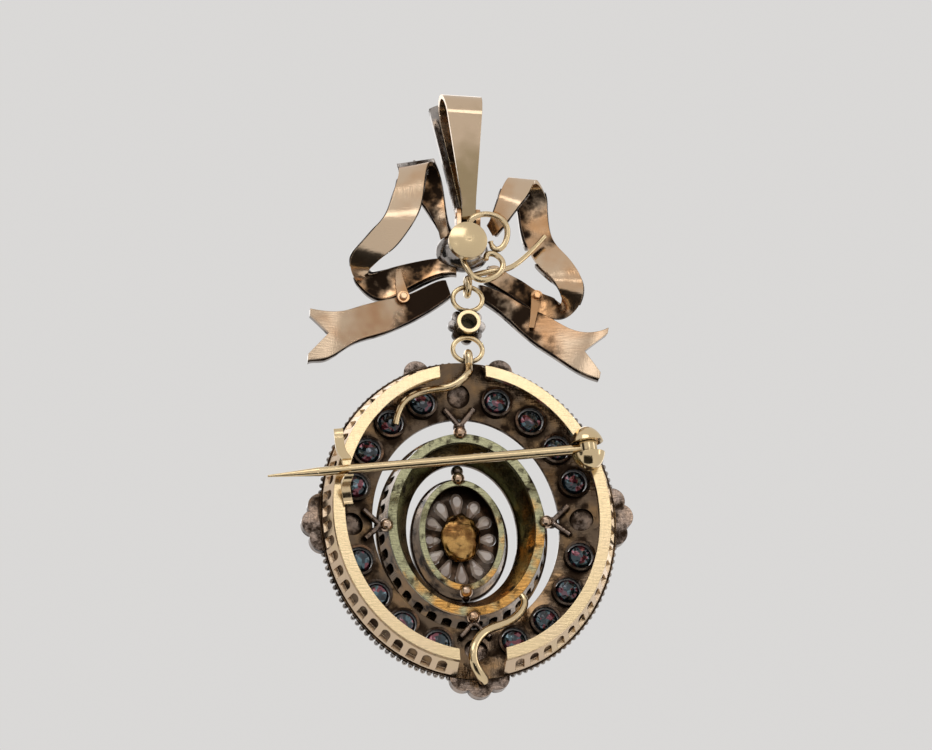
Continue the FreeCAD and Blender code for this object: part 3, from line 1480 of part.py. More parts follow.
catch_strip(
    "catch_lower",
    [
        (-clear - 2.6, ring_face - 0.05),
        (-clear - 1.6, ring_face - 0.25),
        (-clear - 0.9, ring_face - 1.1),
        (-clear - 0.55, -0.45),
        (-clear - strip / 2, -0.75),
    ],
)
catch_strip(
    "catch_upper",
    [
        (clear + 4.0, ring_face),
        (clear + 2.6, ring_face - 0.2),
        (clear + 1.5, ring_face - 1.0),
        (clear + 0.75, -0.35),
        (clear + strip / 2, -0.7),
    ],
)

# ---------------------------------------------------------------- check and write

doc.recompute()
for item in doc.Objects:
    if "Invalid" in item.State or "Error" in item.State:
        raise RuntimeError(f"{item.Name} failed: {item.State}")
for item in NODES:
    if item.Shape.isNull() or not item.Shape.isValid():
        raise RuntimeError(f"{item.Label} has no valid shape")
    if not item.Shape.Solids or min(solid.Volume for solid in item.Shape.Solids) <= 0:
        raise RuntimeError(f"{item.Label} has no solid volume")
os.makedirs("parts", exist_ok=True)
for item in NODES:
    item.Shape.exportStep(f"parts/{item.Label}.step")
print(len(NODES), "sub-parts written")
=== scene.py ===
"""Bow pendant brooch: its metals and stones, the settings' small work and the studio."""

import math

import bpy
from bpy.props import FloatProperty, FloatVectorProperty, PointerProperty
from mathutils import Matrix, Vector


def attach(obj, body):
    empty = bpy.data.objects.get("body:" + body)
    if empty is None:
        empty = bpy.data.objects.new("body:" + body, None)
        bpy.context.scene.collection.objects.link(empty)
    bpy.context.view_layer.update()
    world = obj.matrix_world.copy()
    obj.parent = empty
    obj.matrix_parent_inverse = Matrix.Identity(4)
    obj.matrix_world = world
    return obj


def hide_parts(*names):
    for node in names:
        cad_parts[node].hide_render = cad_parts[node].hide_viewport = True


bl_info = {
    "name": "Bow Pendant Brooch",
    "version": (1, 0, 0),
    "blender": (4, 5, 0),
    "location": "3D View > Sidebar > Brooch",
    "description": "Dresses the jointed bow pendant brooch and sets it in a studio",
    "category": "Object",
}

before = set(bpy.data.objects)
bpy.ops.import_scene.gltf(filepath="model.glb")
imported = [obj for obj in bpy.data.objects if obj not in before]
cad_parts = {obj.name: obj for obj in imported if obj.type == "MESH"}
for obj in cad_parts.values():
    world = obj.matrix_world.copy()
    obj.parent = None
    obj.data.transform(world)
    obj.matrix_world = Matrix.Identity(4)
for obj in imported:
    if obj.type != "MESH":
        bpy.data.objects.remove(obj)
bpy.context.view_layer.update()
MM = 0.001


# ------------------------------------------------------------------ settings


def length(name, description, millimetres):
    return FloatProperty(
        name=name,
        description=description,
        default=millimetres * MM,
        subtype="DISTANCE",
        unit="LENGTH",
        precision=6,
    )


def colour(name, description, rgb):
    return FloatVectorProperty(
        name=name, description=description, default=rgb, size=3, subtype="COLOR", min=0, max=1
    )


def bearing(name, description, degrees):
    return FloatProperty(
        name=name, description=description, default=math.radians(degrees), subtype="ANGLE"
    )


class BroochSizes(bpy.types.PropertyGroup):
    edge_round: length("Edge rounding", "Radius that wear has given the metal's edges", 0.09)
    claw_radius: length("Claw radius", "Radius of the claws that hold the front stones", 0.22)
    grain_radius: length("Grain radius", "Radius of the grains round the pendant's edge", 0.27)
    ball_radius: length("Ball radius", "Radius of the balls that join the oval rims", 0.68)
    eye_radius: length("Hook eye radius", "Radius of the link's eye to its wire's middle", 0.84)
    eye_wire: length("Hook eye wire", "Radius of that eye's wire", 0.34)
    petal_width: length("Petal half width", "Half the width of a petal stone", 0.66)


class BroochColours(bpy.types.PropertyGroup):
    gold: colour("Polished gold", "Clean yellow gold", (0.76, 0.59, 0.35))
    rose: colour("Rose gold", "Redder gold of the bow and bail", (0.70, 0.53, 0.37))
    # painted shade as well as tarnish: hollows and the far side along Y darken to this colour
    grime: colour("Tarnish", "Dark tarnish in the hollows", (0.022, 0.013, 0.008))
    amber: colour("Amber tarnish", "Orange film where gold has coloured", (0.55, 0.22, 0.035))
    silver: colour("Silver", "Grey silver where it is rubbed bright", (0.36, 0.33, 0.31))
    green: colour("Green gold", "Pale green film on the inner rims", (0.27, 0.26, 0.155))


class BroochStudio(bpy.types.PropertyGroup):
    camera_azimuth: bearing("Camera azimuth", "Turn of the camera about the brooch", -9)
    camera_elevation: bearing("Camera elevation", "Rise of the camera above the brooch", -20)
    lens: FloatProperty(
        name="Lens", description="Focal length", default=150, subtype="DISTANCE_CAMERA"
    )
    view_width: length("View width", "Width of the view at the brooch", 93.2)
    floor_drop: length("Floor drop", "How far the floor lies under the bail", 520)
    backdrop: FloatProperty(
        name="Backdrop",
        description="Paleness of the backdrop",
        default=0.70,
        min=0,
        max=1,
        subtype="FACTOR",
    )
    key_power: FloatProperty(
        name="Key light",
        description="Power of the large soft light",
        default=0.42,
        min=0,
        unit="POWER",
    )


def sizes():
    return bpy.context.scene.brooch_sizes


def colours():
    return bpy.context.scene.brooch_colours


def studio():
    return bpy.context.scene.brooch_studio


# ------------------------------------------------------------------ shader nodes

NOISE_MIDDLE = 0.5
NOISE_ROUGHNESS = 0.55
OCCLUSION_RAYS = 6
BEVEL_RAYS = 4


def new_group(name, inputs, outputs):
    """A shader group with the named sockets, and its two end nodes."""
    group = bpy.data.node_groups.new(name, "ShaderNodeTree")
    for label, kind, default in inputs:
        socket = group.interface.new_socket(label, in_out="INPUT", socket_type=kind)
        if default is not None:
            socket.default_value = default
    for label, kind in outputs:
        group.interface.new_socket(label, in_out="OUTPUT", socket_type=kind)
    return group, group.nodes.new("NodeGroupInput"), group.nodes.new("NodeGroupOutput")


def feed(tree, value, socket):
    """Set a socket to a number, or link it to another socket."""
    if isinstance(value, (int, float)):
        socket.default_value = value
    else:
        tree.links.new(value, socket)


def math_node(tree, operation, a, b, clamp=False):
    """A Math node over numbers or sockets; returns its output."""
    node = tree.nodes.new("ShaderNodeMath")
    node.operation, node.use_clamp = operation, clamp
    feed(tree, a, node.inputs[0])
    feed(tree, b, node.inputs[1])
    return node.outputs[0]


def swing(tree, field, amount):
    """A noise field moved to lie about zero and made larger."""
    return math_node(tree, "MULTIPLY", math_node(tree, "SUBTRACT", field, NOISE_MIDDLE), amount)


def span(tree, value, low, high, to_low=0.0, to_high=1.0):
    """A clamped smooth range."""
    node = tree.nodes.new("ShaderNodeMapRange")
    node.interpolation_type = "SMOOTHSTEP"
    for index, number in enumerate((value, low, high, to_low, to_high)):
        feed(tree, number, node.inputs[index])
    return node.outputs[0]


def noise(tree, where, scale, detail, stretch=None):
    """A noise field, stretched where asked."""
    if stretch:
        mapping = tree.nodes.new("ShaderNodeMapping")
        mapping.inputs["Scale"].default_value = stretch
        tree.links.new(where, mapping.inputs["Vector"])
        where = mapping.outputs[0]
    node = tree.nodes.new("ShaderNodeTexNoise")
    node.inputs["Detail"].default_value = detail
    node.inputs["Roughness"].default_value = NOISE_ROUGHNESS
    feed(tree, scale, node.inputs["Scale"])
    tree.links.new(where, node.inputs["Vector"])
    return node.outputs[0]


def blend_colour(tree, factor, a, b):
    """A colour mix; a and b are colours or sockets."""
    node = tree.nodes.new("ShaderNodeMix")
    node.data_type = "RGBA"
    tree.links.new(factor, node.inputs[0])
    for socket, value in ((node.inputs[6], a), (node.inputs[7], b)):
        if isinstance(value, bpy.types.NodeSocket):
            tree.links.new(value, socket)
        else:
            socket.default_value = (*value[:3], 1)
    return node.outputs[2]


def vector_node(tree, operation, a, b):
    """A Vector Math node over two sockets."""
    node = tree.nodes.new("ShaderNodeVectorMath")
    node.operation = operation
    tree.links.new(a, node.inputs[0])
    tree.links.new(b, node.inputs[1])
    return node


def object_place(tree):
    return tree.nodes.new("ShaderNodeTexCoord").outputs["Object"]


# ------------------------------------------------------------------ old metal

# Shade and grime: painted shade in hollows and further back along Y, which also stands for the
# tarnish there, broken up by patches, where it passes the clean level.
DEEP_SHADE = 0.75
HOLLOW_SHADE = 1.15
PATCH_SWING = 2.2
UNSHADED_CLEAN_LEVEL = 0.62
SHADE_AND_GRIME_SOFTNESS = 0.36
# Film: larger patches that lean to one side of the brooch; they also grow in hollows and further
# back along Y, as painted shade.
FILM_SCALE = 0.6
FILM_SWING = 1.8
FILM_LEVEL = 0.5
FILM_IN_DEPTH = 0.25
FILM_IN_HOLLOWS = 0.3
FILM_LEAN = (-0.3, 0.4)
FILM_RANGE = (0.4, 0.9)
# Wear: edges turned this far from their face, rubbed in patches.
WEAR_RADIUS = 0.12 * MM
WEAR_TURN = (0.01, 0.12)
WEAR_SCALE = 1400
WEAR_PATCHES = (0.35, 0.6)
# Fine marks: scale and stretch of the two sets of scratches, and the mottle.
SCRATCHES = ((900, (1, 0.35, 6)), (1100, (5, 0.4, 1)))
MOTTLE_SCALE = 2600
SCRATCH_ROUGHNESS = 0.16
MARK_DEPTH = 0.05 * MM


def old_metal_group():
    """Where old metal darkens with tarnish and painted shade, colours and scratches, as masks in
    object space.
    """
    group, start, end = new_group(
        "old_metal",
        [
            ("Spread", "NodeSocketFloat", 0.4),
            ("Patch Scale", "NodeSocketFloat", 260.0),
            ("Hollow", "NodeSocketFloat", 0.0012),
            ("Seed", "NodeSocketFloat", 0.0),
            ("Clean Depth", "NodeSocketFloat", 0.01),
            ("Dark Depth", "NodeSocketFloat", 0.02),
            ("Film Lean", "NodeSocketVector", None),
            ("Film Start", "NodeSocketFloat", 0.0),
        ],
        [
            ("Grime", "NodeSocketFloat"),
            ("Film", "NodeSocketFloat"),
            ("Wear", "NodeSocketFloat"),
            ("Scratches", "NodeSocketFloat"),
            ("Mottle", "NodeSocketFloat"),
        ],
    )
    given = start.outputs
    coordinates = object_place(group)
    where = vector_node(group, "ADD", coordinates, given["Seed"]).outputs[0]

    # painted shade: occlusion darkens the hollows, standing also for the tarnish that gathers in
    # them
    hollow = group.nodes.new("ShaderNodeAmbientOcclusion")
    hollow.samples = OCCLUSION_RAYS
    group.links.new(given["Hollow"], hollow.inputs["Distance"])
    patches = noise(group, where, given["Patch Scale"], detail=5)
    shut = math_node(group, "SUBTRACT", 1.0, hollow.outputs["AO"])
    place = group.nodes.new("ShaderNodeSeparateXYZ")
    group.links.new(coordinates, place.inputs[0])
    # painted shade: the metal darkens further back along Y
    deep = span(
        group, place.outputs["Y"], given["Clean Depth"], given["Dark Depth"], to_high=DEEP_SHADE
    )
    shade = math_node(group, "MAXIMUM", math_node(group, "MULTIPLY", shut, HOLLOW_SHADE), deep)
    shade_and_dirt = math_node(group, "ADD", shade, swing(group, patches, PATCH_SWING))
    low = math_node(group, "SUBTRACT", UNSHADED_CLEAN_LEVEL, given["Spread"])
    high = math_node(group, "ADD", low, SHADE_AND_GRIME_SOFTNESS)
    group.links.new(span(group, shade_and_dirt, low, high), end.inputs["Grime"])

    film_scale = math_node(group, "MULTIPLY", given["Patch Scale"], FILM_SCALE)
    film = noise(group, where, film_scale, detail=3)
    across = vector_node(group, "DOT_PRODUCT", coordinates, given["Film Lean"]).outputs["Value"]
    lean = math_node(group, "SUBTRACT", across, given["Film Start"])
    film = math_node(group, "ADD", swing(group, film, FILM_SWING), FILM_LEVEL)
    # painted shade: the film grows further back along Y here and in hollows below
    film = math_node(group, "ADD", film, math_node(group, "MULTIPLY", deep, FILM_IN_DEPTH))
    least, most = FILM_LEAN
    lean = math_node(group, "MAXIMUM", math_node(group, "MINIMUM", lean, most), least)
    film = math_node(group, "ADD", film, lean)
    film = math_node(group, "ADD", film, math_node(group, "MULTIPLY", shut, FILM_IN_HOLLOWS))
    group.links.new(span(group, film, *FILM_RANGE), end.inputs["Film"])

    soft = group.nodes.new("ShaderNodeBevel")
    soft.samples = BEVEL_RAYS
    soft.inputs["Radius"].default_value = WEAR_RADIUS
    plain = group.nodes.new("ShaderNodeNewGeometry")
    match = vector_node(group, "DOT_PRODUCT", soft.outputs[0], plain.outputs["Normal"])
    turned = math_node(group, "SUBTRACT", 1.0, match.outputs["Value"])
    touched = span(group, noise(group, where, WEAR_SCALE, detail=2), *WEAR_PATCHES)
    rubbed = math_node(group, "MULTIPLY", span(group, turned, *WEAR_TURN), touched)
    group.links.new(rubbed, end.inputs["Wear"])

    lines, cross = (
        noise(group, where, scale, detail=2, stretch=stretch) for scale, stretch in SCRATCHES
    )
    both = math_node(group, "MULTIPLY", math_node(group, "ADD", lines, cross), 0.5)
    group.links.new(both, end.inputs["Scratches"])
    group.links.new(noise(group, where, MOTTLE_SCALE, detail=3), end.inputs["Mottle"])
    return group


GROUPS = {}


def shared(name, maker):
    """A shader group that is made once and used by many materials."""
    if name not in GROUPS:
        GROUPS[name] = maker()
    return GROUPS[name]


def new_material(name):
    """A material with one Principled shader, its nodes and that shader."""
    material = bpy.data.materials.new(name)
    material.use_nodes = True
    tree = material.node_tree
    tree.nodes.clear()
    shader = tree.nodes.new("ShaderNodeBsdfPrincipled")
    output = tree.nodes.new("ShaderNodeOutputMaterial")
    tree.links.new(shader.outputs[0], output.inputs["Surface"])
    return material, tree, shader


def old_metal(
    name,
    clean,
    film,
    *,
    spread,
    roughness,
    film_share,
    patch=260.0,
    hollow=1.2,
    bump=0.25,
    seed=0.0,
    depths=(10, 20),
    lean=(0, 0, 0),
    lean_start=0.0,
):
    """A tarnished metal: clean colour, coloured film, grime and painted shade, rubbed edges and
    fine scratches.

    Hollow and depths are in millimetres: the reach of a hollow's painted shade, and where along Y
    the metal starts to darken and is darkest, which paints shade too. The film grows along lean,
    per millimetre.
    """
    material, tree, shader = new_material(name)
    old = tree.nodes.new("ShaderNodeGroup")
    old.node_tree = shared("old_metal", old_metal_group)
    for label, value in (
        ("Spread", spread),
        ("Patch Scale", patch),
        ("Hollow", hollow * MM),
        ("Seed", seed),
        ("Clean Depth", depths[0] * MM),
        ("Dark Depth", depths[1] * MM),
        ("Film Lean", [component / MM for component in lean]),
        ("Film Start", lean_start),
    ):
        old.inputs[label].default_value = value

    filmed = math_node(tree, "MULTIPLY", old.outputs["Film"], film_share)
    base = blend_colour(tree, filmed, clean, film)
    unworn = math_node(tree, "SUBTRACT", 1.0, old.outputs["Wear"])
    # tarnish and painted shade: hollows and the far side along Y darken towards the tarnish
    # colour, except on rubbed edges
    shade_and_grime_cover = math_node(tree, "MULTIPLY", old.outputs["Grime"], unworn)
    base = blend_colour(tree, shade_and_grime_cover, base, colours().grime)
    tree.links.new(base, shader.inputs["Base Color"])
    shader.inputs["Metallic"].default_value = 1.0

    low, high = roughness
    dull = math_node(tree, "MULTIPLY", shade_and_grime_cover, high - low)
    scratched = math_node(tree, "MULTIPLY", old.outputs["Scratches"], SCRATCH_ROUGHNESS)
    rough = math_node(tree, "ADD", dull, scratched)
    rough = math_node(tree, "ADD", rough, low - SCRATCH_ROUGHNESS / 2, clamp=True)
    tree.links.new(rough, shader.inputs["Roughness"])

    soften = tree.nodes.new("ShaderNodeBevel")
    soften.samples = BEVEL_RAYS
    soften.inputs["Radius"].default_value = sizes().edge_round
    marks = tree.nodes.new("ShaderNodeBump")
    marks.inputs["Strength"].default_value = bump
    marks.inputs["Distance"].default_value = MARK_DEPTH
    pitted = math_node(tree, "MULTIPLY", old.outputs["Mottle"], shade_and_grime_cover)
    height = math_node(tree, "ADD", old.outputs["Scratches"], pitted)
    tree.links.new(height, marks.inputs["Height"])
    tree.links.new(soften.outputs[0], marks.inputs["Normal"])
    tree.links.new(marks.outputs[0], shader.inputs["Normal"])
    return material


# ------------------------------------------------------------------ stones

PAINTED_GLINT_FACETS = (0.62, 0.9)
PAINTED_FIRE_FACETS = (0.7, 0.85)
CLOUD_SCALE = 3000
CLOUD_RANGE = (0.3, 0.8)
CLOUD_ROUGHNESS = 0.1
STONE_IOR = 1.7
STONE_COAT = 0.6
STONE_COAT_ROUGHNESS = 0.03


def cut_stone(name, deep, light, painted_glint, painted_fire=None, *, patch, metallic=0.0, roughness=0.04):
    """A faceted stone whose colour shifts from facet to facet, partly its own tone and partly
    painted reflection, with a painted glint and perhaps a painted flash of fire on some facets.
    """
    material, tree, shader = new_material(name)
    coordinates = object_place(tree)
    cells = tree.nodes.new("ShaderNodeTexVoronoi")
    cells.inputs["Scale"].default_value = patch
    tree.links.new(coordinates, cells.inputs["Vector"])
    parts = tree.nodes.new("ShaderNodeSeparateColor")
    tree.links.new(cells.outputs["Color"], parts.inputs[0])
    # deep to light: partly the stone's own tone, partly painted reflection
    base = blend_colour(tree, parts.outputs[0], deep, light)
    # painted glints: some facets take a bright colour
    base = blend_colour(tree, span(tree, parts.outputs[1], *PAINTED_GLINT_FACETS), base, painted_glint)
    # painted fire: some facets take a coloured flash
    if painted_fire:
        base = blend_colour(tree, span(tree, parts.outputs[2], *PAINTED_FIRE_FACETS), base, painted_fire)
    tree.links.new(base, shader.inputs["Base Color"])
    cloud = noise(tree, coordinates, CLOUD_SCALE, detail=2)
    rough = span(tree, cloud, *CLOUD_RANGE, roughness, roughness + CLOUD_ROUGHNESS)
    tree.links.new(rough, shader.inputs["Roughness"])
    shader.inputs["IOR"].default_value = STONE_IOR
    shader.inputs["Metallic"].default_value = metallic
    shader.inputs["Coat Weight"].default_value = STONE_COAT
    shader.inputs["Coat Roughness"].default_value = STONE_COAT_ROUGHNESS
    return material


# ------------------------------------------------------------------ finishes

# Each metal has its clean colour, its film's colour, and how it has aged and where painted shade
# darkens it. A colour is a name from the panel or its own red, green and blue.
METALS = {
    "ring_gold": ("gold", "rose", dict(spread=0.1, roughness=(0.2, 0.5), film_share=0.35)),
    # painted shade further back along Y and deep in its hollows; its film grows towards the bottom
    "bail_gold": (
        "rose",
        (0.36, 0.27, 0.145),
        dict(
            spread=0.2,
            roughness=(0.14, 0.45),
            hollow=2.5,
            film_share=0.85,
            seed=0.02,
            depths=(-0.4, 2.2),
            lean=(0, 0, -0.08),
            lean_start=0.38,
        ),
    ),
    "cap_gold": (
        "gold",
        "rose",
        dict(spread=0.15, roughness=(0.22, 0.5), film_share=0.2, seed=0.05),
    ),
    # painted shade further back along Y and deep in its hollows
    "bow_gold": (
        "rose",
        "amber",
        dict(
            spread=0.22,
            roughness=(0.16, 0.5),
            hollow=2.2,
            film_share=0.6,
            seed=0.09,
            depths=(-1.2, 1.6),
        ),
    ),
    # painted shade further back along Y and deep in its hollows
    "tail_gold": (
        (0.58, 0.44, 0.31),
        (0.38, 0.17, 0.055),
        dict(
            spread=0.3,
            roughness=(0.18, 0.5),
            hollow=1.5,
            film_share=0.75,
            seed=0.41,
            depths=(-0.7, 1.0),
        ),
    ),
    "wire_gold": (
        "gold",
        "rose",
        dict(spread=0.15, roughness=(0.16, 0.5), film_share=0.3, seed=0.13),
    ),
    "link_gold": (
        "gold",
        "rose",
        dict(spread=0.3, roughness=(0.2, 0.5), hollow=0.8, film_share=0.3, seed=0.47),
    ),
    "pin_gold": (
        "gold",
        "rose",
        dict(spread=0.03, roughness=(0.12, 0.4), film_share=0.1, seed=0.17),
    ),
    "gallery_gold": (
        "rose",
        "gold",
        dict(
            spread=0.22,
            roughness=(0.2, 0.55),
            hollow=0.6,
            film_share=0.6,
            seed=0.21,
            patch=420,
        ),
    ),
    "ball_gold": (
        (0.6, 0.44, 0.32),
        "amber",
        dict(
            spread=0.3,
            roughness=(0.16, 0.45),
            hollow=0.5,
            film_share=0.3,
            seed=0.43,
            patch=700,
        ),
    ),
    "boss_gold": (
        (0.6, 0.35, 0.12),
        (0.16, 0.065, 0.02),
        dict(
            spread=0.5,
            roughness=(0.22, 0.5),
            hollow=1.2,
            film_share=0.9,
            seed=0.53,
            patch=1100,
            bump=1.0,
        ),
    ),
    "old_silver": (
        "silver",
        "rose",
        dict(
            spread=0.5,
            roughness=(0.14, 0.4),
            hollow=1.0,
            film_share=0.2,
            seed=0.25,
            patch=520,
            bump=0.5,
        ),
    ),
    # its long hollow reach paints shade deep into its hollows, such as the plate's open holes
    "flower_silver": (
        (0.26, 0.2, 0.165),
        (0.5, 0.35, 0.25),
        dict(
            spread=0.6,
            roughness=(0.1, 0.32),
            hollow=2.2,
            film_share=0.7,
            seed=0.31,
            patch=900,
            bump=0.9,
        ),
    ),
    "dark_silver": (
        (0.15, 0.105, 0.07),
        (0.34, 0.2, 0.09),
        dict(
            spread=0.6,
            roughness=(0.13, 0.36),
            hollow=1.2,
            film_share=0.7,
            seed=0.29,
            patch=620,
            bump=0.9,
        ),
    ),
    "collet_silver": (
        (0.06, 0.045, 0.035),
        (0.2, 0.1, 0.05),
        dict(
            spread=0.7,
            roughness=(0.2, 0.42),
            hollow=1.0,
            film_share=0.6,
            seed=0.35,
            patch=620,
            bump=0.6,
        ),
    ),
    "green_gold": (
        "green",
        (0.52, 0.25, 0.055),
        dict(
            spread=0.58,
            roughness=(0.16, 0.42),
            hollow=1.0,
            film_share=0.85,
            seed=0.33,
            patch=720,
            bump=0.6,
            lean=(0.03, 0, -0.05),
            lean_start=2.42,
        ),
    ),
    "claw_silver": (
        "silver",
        "rose",
        dict(spread=0.42, roughness=(0.2, 0.5), hollow=0.5, film_share=0.2, seed=0.37),
    ),
}

# Each stone has its deep and light colours, a painted glint, perhaps a painted flash of fire, and
# how it is cut.
STONES = {
    "dark_stone": (
        ((0.01, 0.012, 0.016), (0.02, 0.045, 0.06), (0.08, 0.15, 0.18), (0.2, 0.04, 0.06)),
        dict(metallic=0.6, patch=2300),
    ),
    "petal_stone": (
        ((0.36, 0.24, 0.17), (0.64, 0.49, 0.39), (0.82, 0.68, 0.57)),
        dict(roughness=0.12, patch=600),
    ),
    "amber_stone": (
        ((0.1, 0.035, 0.01), (0.38, 0.17, 0.04), (0.8, 0.5, 0.2)),
        dict(metallic=0.5, patch=1500),
    ),
    "deep_stone": (
        ((0.008, 0.01, 0.005), (0.05, 0.055, 0.02), (0.2, 0.2, 0.1)),
        dict(metallic=0.3, patch=1700),
    ),
    "white_stone": (
        ((0.16, 0.18, 0.21), (0.78, 0.81, 0.85), (0.95, 0.96, 0.98)),
        dict(metallic=0.55, patch=1700),
    ),
}

# The CAD nodes that each finish covers.
FINISH = {
    "ring_gold": ["back_ring_left", "back_ring_right"],
    "gallery_gold": ["gallery_left", "gallery_right"],
    "bail_gold": ["bail_strap"],
    "cap_gold": ["back_cap", "cap_post"],
    "bow_gold": [
        "loop_left", "loop_right", "brace_left", "brace_right", "brace_pegs", "bow_eye", "eye_pin",
    ],
    "tail_gold": ["tail_left", "tail_right"],
    "link_gold": ["link_rings", "link_collet"],
    "wire_gold": [
        "scroll_wire_upper", "scroll_wire_lower", "bow_hook", "top_hook", "bottom_hook",
        "catch_lower", "catch_upper",
    ],
    "pin_gold": ["pin_stem", "hinge_ears", "hinge_rivet"],
    "old_silver": [
        "bail_front_plate", "loop_left_facing", "loop_right_facing", "tail_left_facing",
        "tail_right_facing", "bow_knot", "link_cluster",
    ],
    "flower_silver": ["fleurettes", "joining_balls", "inner_balls"],
    "dark_silver": ["settings_plate", "middle_gallery", "middle_plate", "inner_wall"],
    "collet_silver": ["ring_collets", "petal_plate", "centre_collet"],
    "green_gold": ["middle_rim", "middle_funnel", "inner_rim"],
    "deep_stone": ["link_stone"],
    "white_stone": ["bow_stones", "bail_stones", "fleurette_stones", "middle_stones"],
    "dark_stone": ["ring_stones"],
    "petal_stone": ["petal_stones"],
    "amber_stone": ["centre_stone"],
}

MATERIALS = {}


def paint(value):
    """A colour by its name in the panel, or as it is given."""
    return tuple(getattr(colours(), value)) if isinstance(value, str) else value


def make_materials():
    for name, (clean, film, ageing_and_shade) in METALS.items():
        MATERIALS[name] = old_metal(name, paint(clean), paint(film), **ageing_and_shade)
    for name, (shades, cut) in STONES.items():
        MATERIALS[name] = cut_stone(name, *shades, **cut)


class BROOCH_OT_metal(bpy.types.Operator):
    """Give every solid of the brooch its metal or stone"""

    bl_idname = "brooch.metal"
    bl_label = "Finish Metal and Stones"

    def execute(self, context):
        make_materials()
        for name, nodes in FINISH.items():
            for node in nodes:
                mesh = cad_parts[node].data
                mesh.materials.clear()
                mesh.materials.append(MATERIALS[name])
        return {"FINISHED"}


# ------------------------------------------------------------------ reading the CAD


def solids_of(node):
    """Each solid of a CAD node as a list of its triangles' corners."""
    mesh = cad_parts[node].data
    places = [tuple(round(c, 7) for c in v.co) for v in mesh.vertices]
    owner = {}

    def root(key):
        while owner.setdefault(key, key) != key:
            owner[key] = owner[owner[key]]
            key = owner[key]
        return key

    triangles = [[places[i] for i in face.vertices] for face in mesh.polygons]
    for a, *rest in triangles:
        for b in rest:
            owner[root(b)] = root(a)
    found = {}
    for triangle in triangles:
        found.setdefault(root(triangle[0]), []).append([Vector(p) for p in triangle])
    return [found[key] for key in sorted(found)]


def points_of(triangles):
    return [point for triangle in triangles for point in triangle]


def mean_of(triangles):
    """The mean of a solid's corners."""
    points = points_of(triangles)
    return sum(points, Vector()) / len(points)


def extents(points):
    """The low corner, the high corner and the middle of a list of points."""
    low = Vector([min(p[i] for p in points) for i in range(3)])
    high = Vector([max(p[i] for p in points) for i in range(3)])
    return low, high, (low + high) / 2


def box_of(node):
    """The low corner, the high corner and the middle of a CAD node."""
    return extents([v.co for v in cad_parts[node].data.vertices])


def oval_reach(half, out):
    """How far an oval with these half sizes reaches in a direction of the brooch's plane."""
    return 1 / math.hypot(out.x / half.x, out.z / half.z)


def flat_side(triangles):
    """The widest flat face of a solid: its centre, its outward normal and its radius."""
    faces = {}
    for a, b, c in triangles:
        cross = (b - a).cross(c - a)
        if cross.length > 0:
            key = tuple(round(n, 2) + 0.0 for n in cross.normalized())
            faces.setdefault(key, []).append((a, b, c, cross.length / 2))
    widest = max(faces.values(), key=lambda face: sum(row[3] for row in face))
    area = sum(row[3] for row in widest)
    centre = sum(((a + b + c) * (part / 3) for a, b, c, part in widest), Vector()) / area
    normal = sum(((b - a).cross(c - a) for a, b, c, part in widest), Vector()).normalized()
    return centre, normal, math.sqrt(area / math.pi)


# ------------------------------------------------------------------ making pieces


def deselect():
    bpy.ops.object.select_all(action="DESELECT")


def facing(direction):
    """The turn that brings +Z to a direction."""
    return direction.to_track_quat("Z", "Y").to_matrix().to_4x4()


def scaled(x, y, z):
    return Matrix.Diagonal((x, y, z, 1))


def copies(name, model, places, body, material, slot, replaced=()):
    """One piece from copies of a model, one at each place."""
    deselect()
    made = []
    for matrix in places:
        copy = model.copy()
        copy.data = model.data.copy()
        copy.data.transform(matrix)
        bpy.context.scene.collection.objects.link(copy)
        copy.select_set(True)
        made.append(copy)
    bpy.context.view_layer.objects.active = made[0]
    if len(made) > 1:
        bpy.ops.object.join()
    piece = bpy.context.object
    piece.name = piece.data.name = name
    piece.data.materials.clear()
    piece.data.materials.append(MATERIALS[material])
    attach(piece, body)
    if replaced:
        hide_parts(*replaced)
    return piece


def drop(model):
    bpy.data.objects.remove(model)


def faceted_model(levels, corners):
    """A stone of unit radius that faces +Z: rings of corners under one convex hull.

    A level has its share of the radius, its height, its turn in half steps and its shift along X.
    """
    deselect()
    bpy.ops.mesh.primitive_circle_add(vertices=corners, radius=1, location=(0, 0, 0))
    bpy.ops.object.mode_set(mode="EDIT")
    bpy.ops.mesh.delete(type="VERT")
    for share, height, turn, along in levels:
        bpy.ops.mesh.primitive_circle_add(
            vertices=corners,
            radius=share,
            location=(along, 0, height),
            rotation=(0, 0, turn * math.pi / corners),
        )
    bpy.ops.mesh.select_all(action="SELECT")
    bpy.ops.mesh.convex_hull()
    bpy.ops.mesh.normals_make_consistent(inside=False)
    bpy.ops.object.mode_set(mode="OBJECT")
    return bpy.context.object


def new_ball(segments, rings):
    """A ball of unit radius, alone in the selection."""
    deselect()
    bpy.ops.mesh.primitive_uv_sphere_add(segments=segments, ring_count=rings, radius=1)
    return bpy.context.object


def pick(model, test):
    """Open a model in edit mode with only the points that pass a test selected."""
    bpy.ops.object.mode_set(mode="EDIT")
    bpy.ops.mesh.select_mode(type="VERT")
    bpy.ops.mesh.select_all(action="DESELECT")
    bpy.ops.object.mode_set(mode="OBJECT")
    for vertex in model.data.vertices:
        vertex.select = test(vertex.co)
    bpy.ops.object.mode_set(mode="EDIT")


FOOT_START = 0.6
FOOT_MIDDLE = 0.7
FOOT_FLATTEN = 0.4
SMOOTH_ANGLE = math.radians(40)


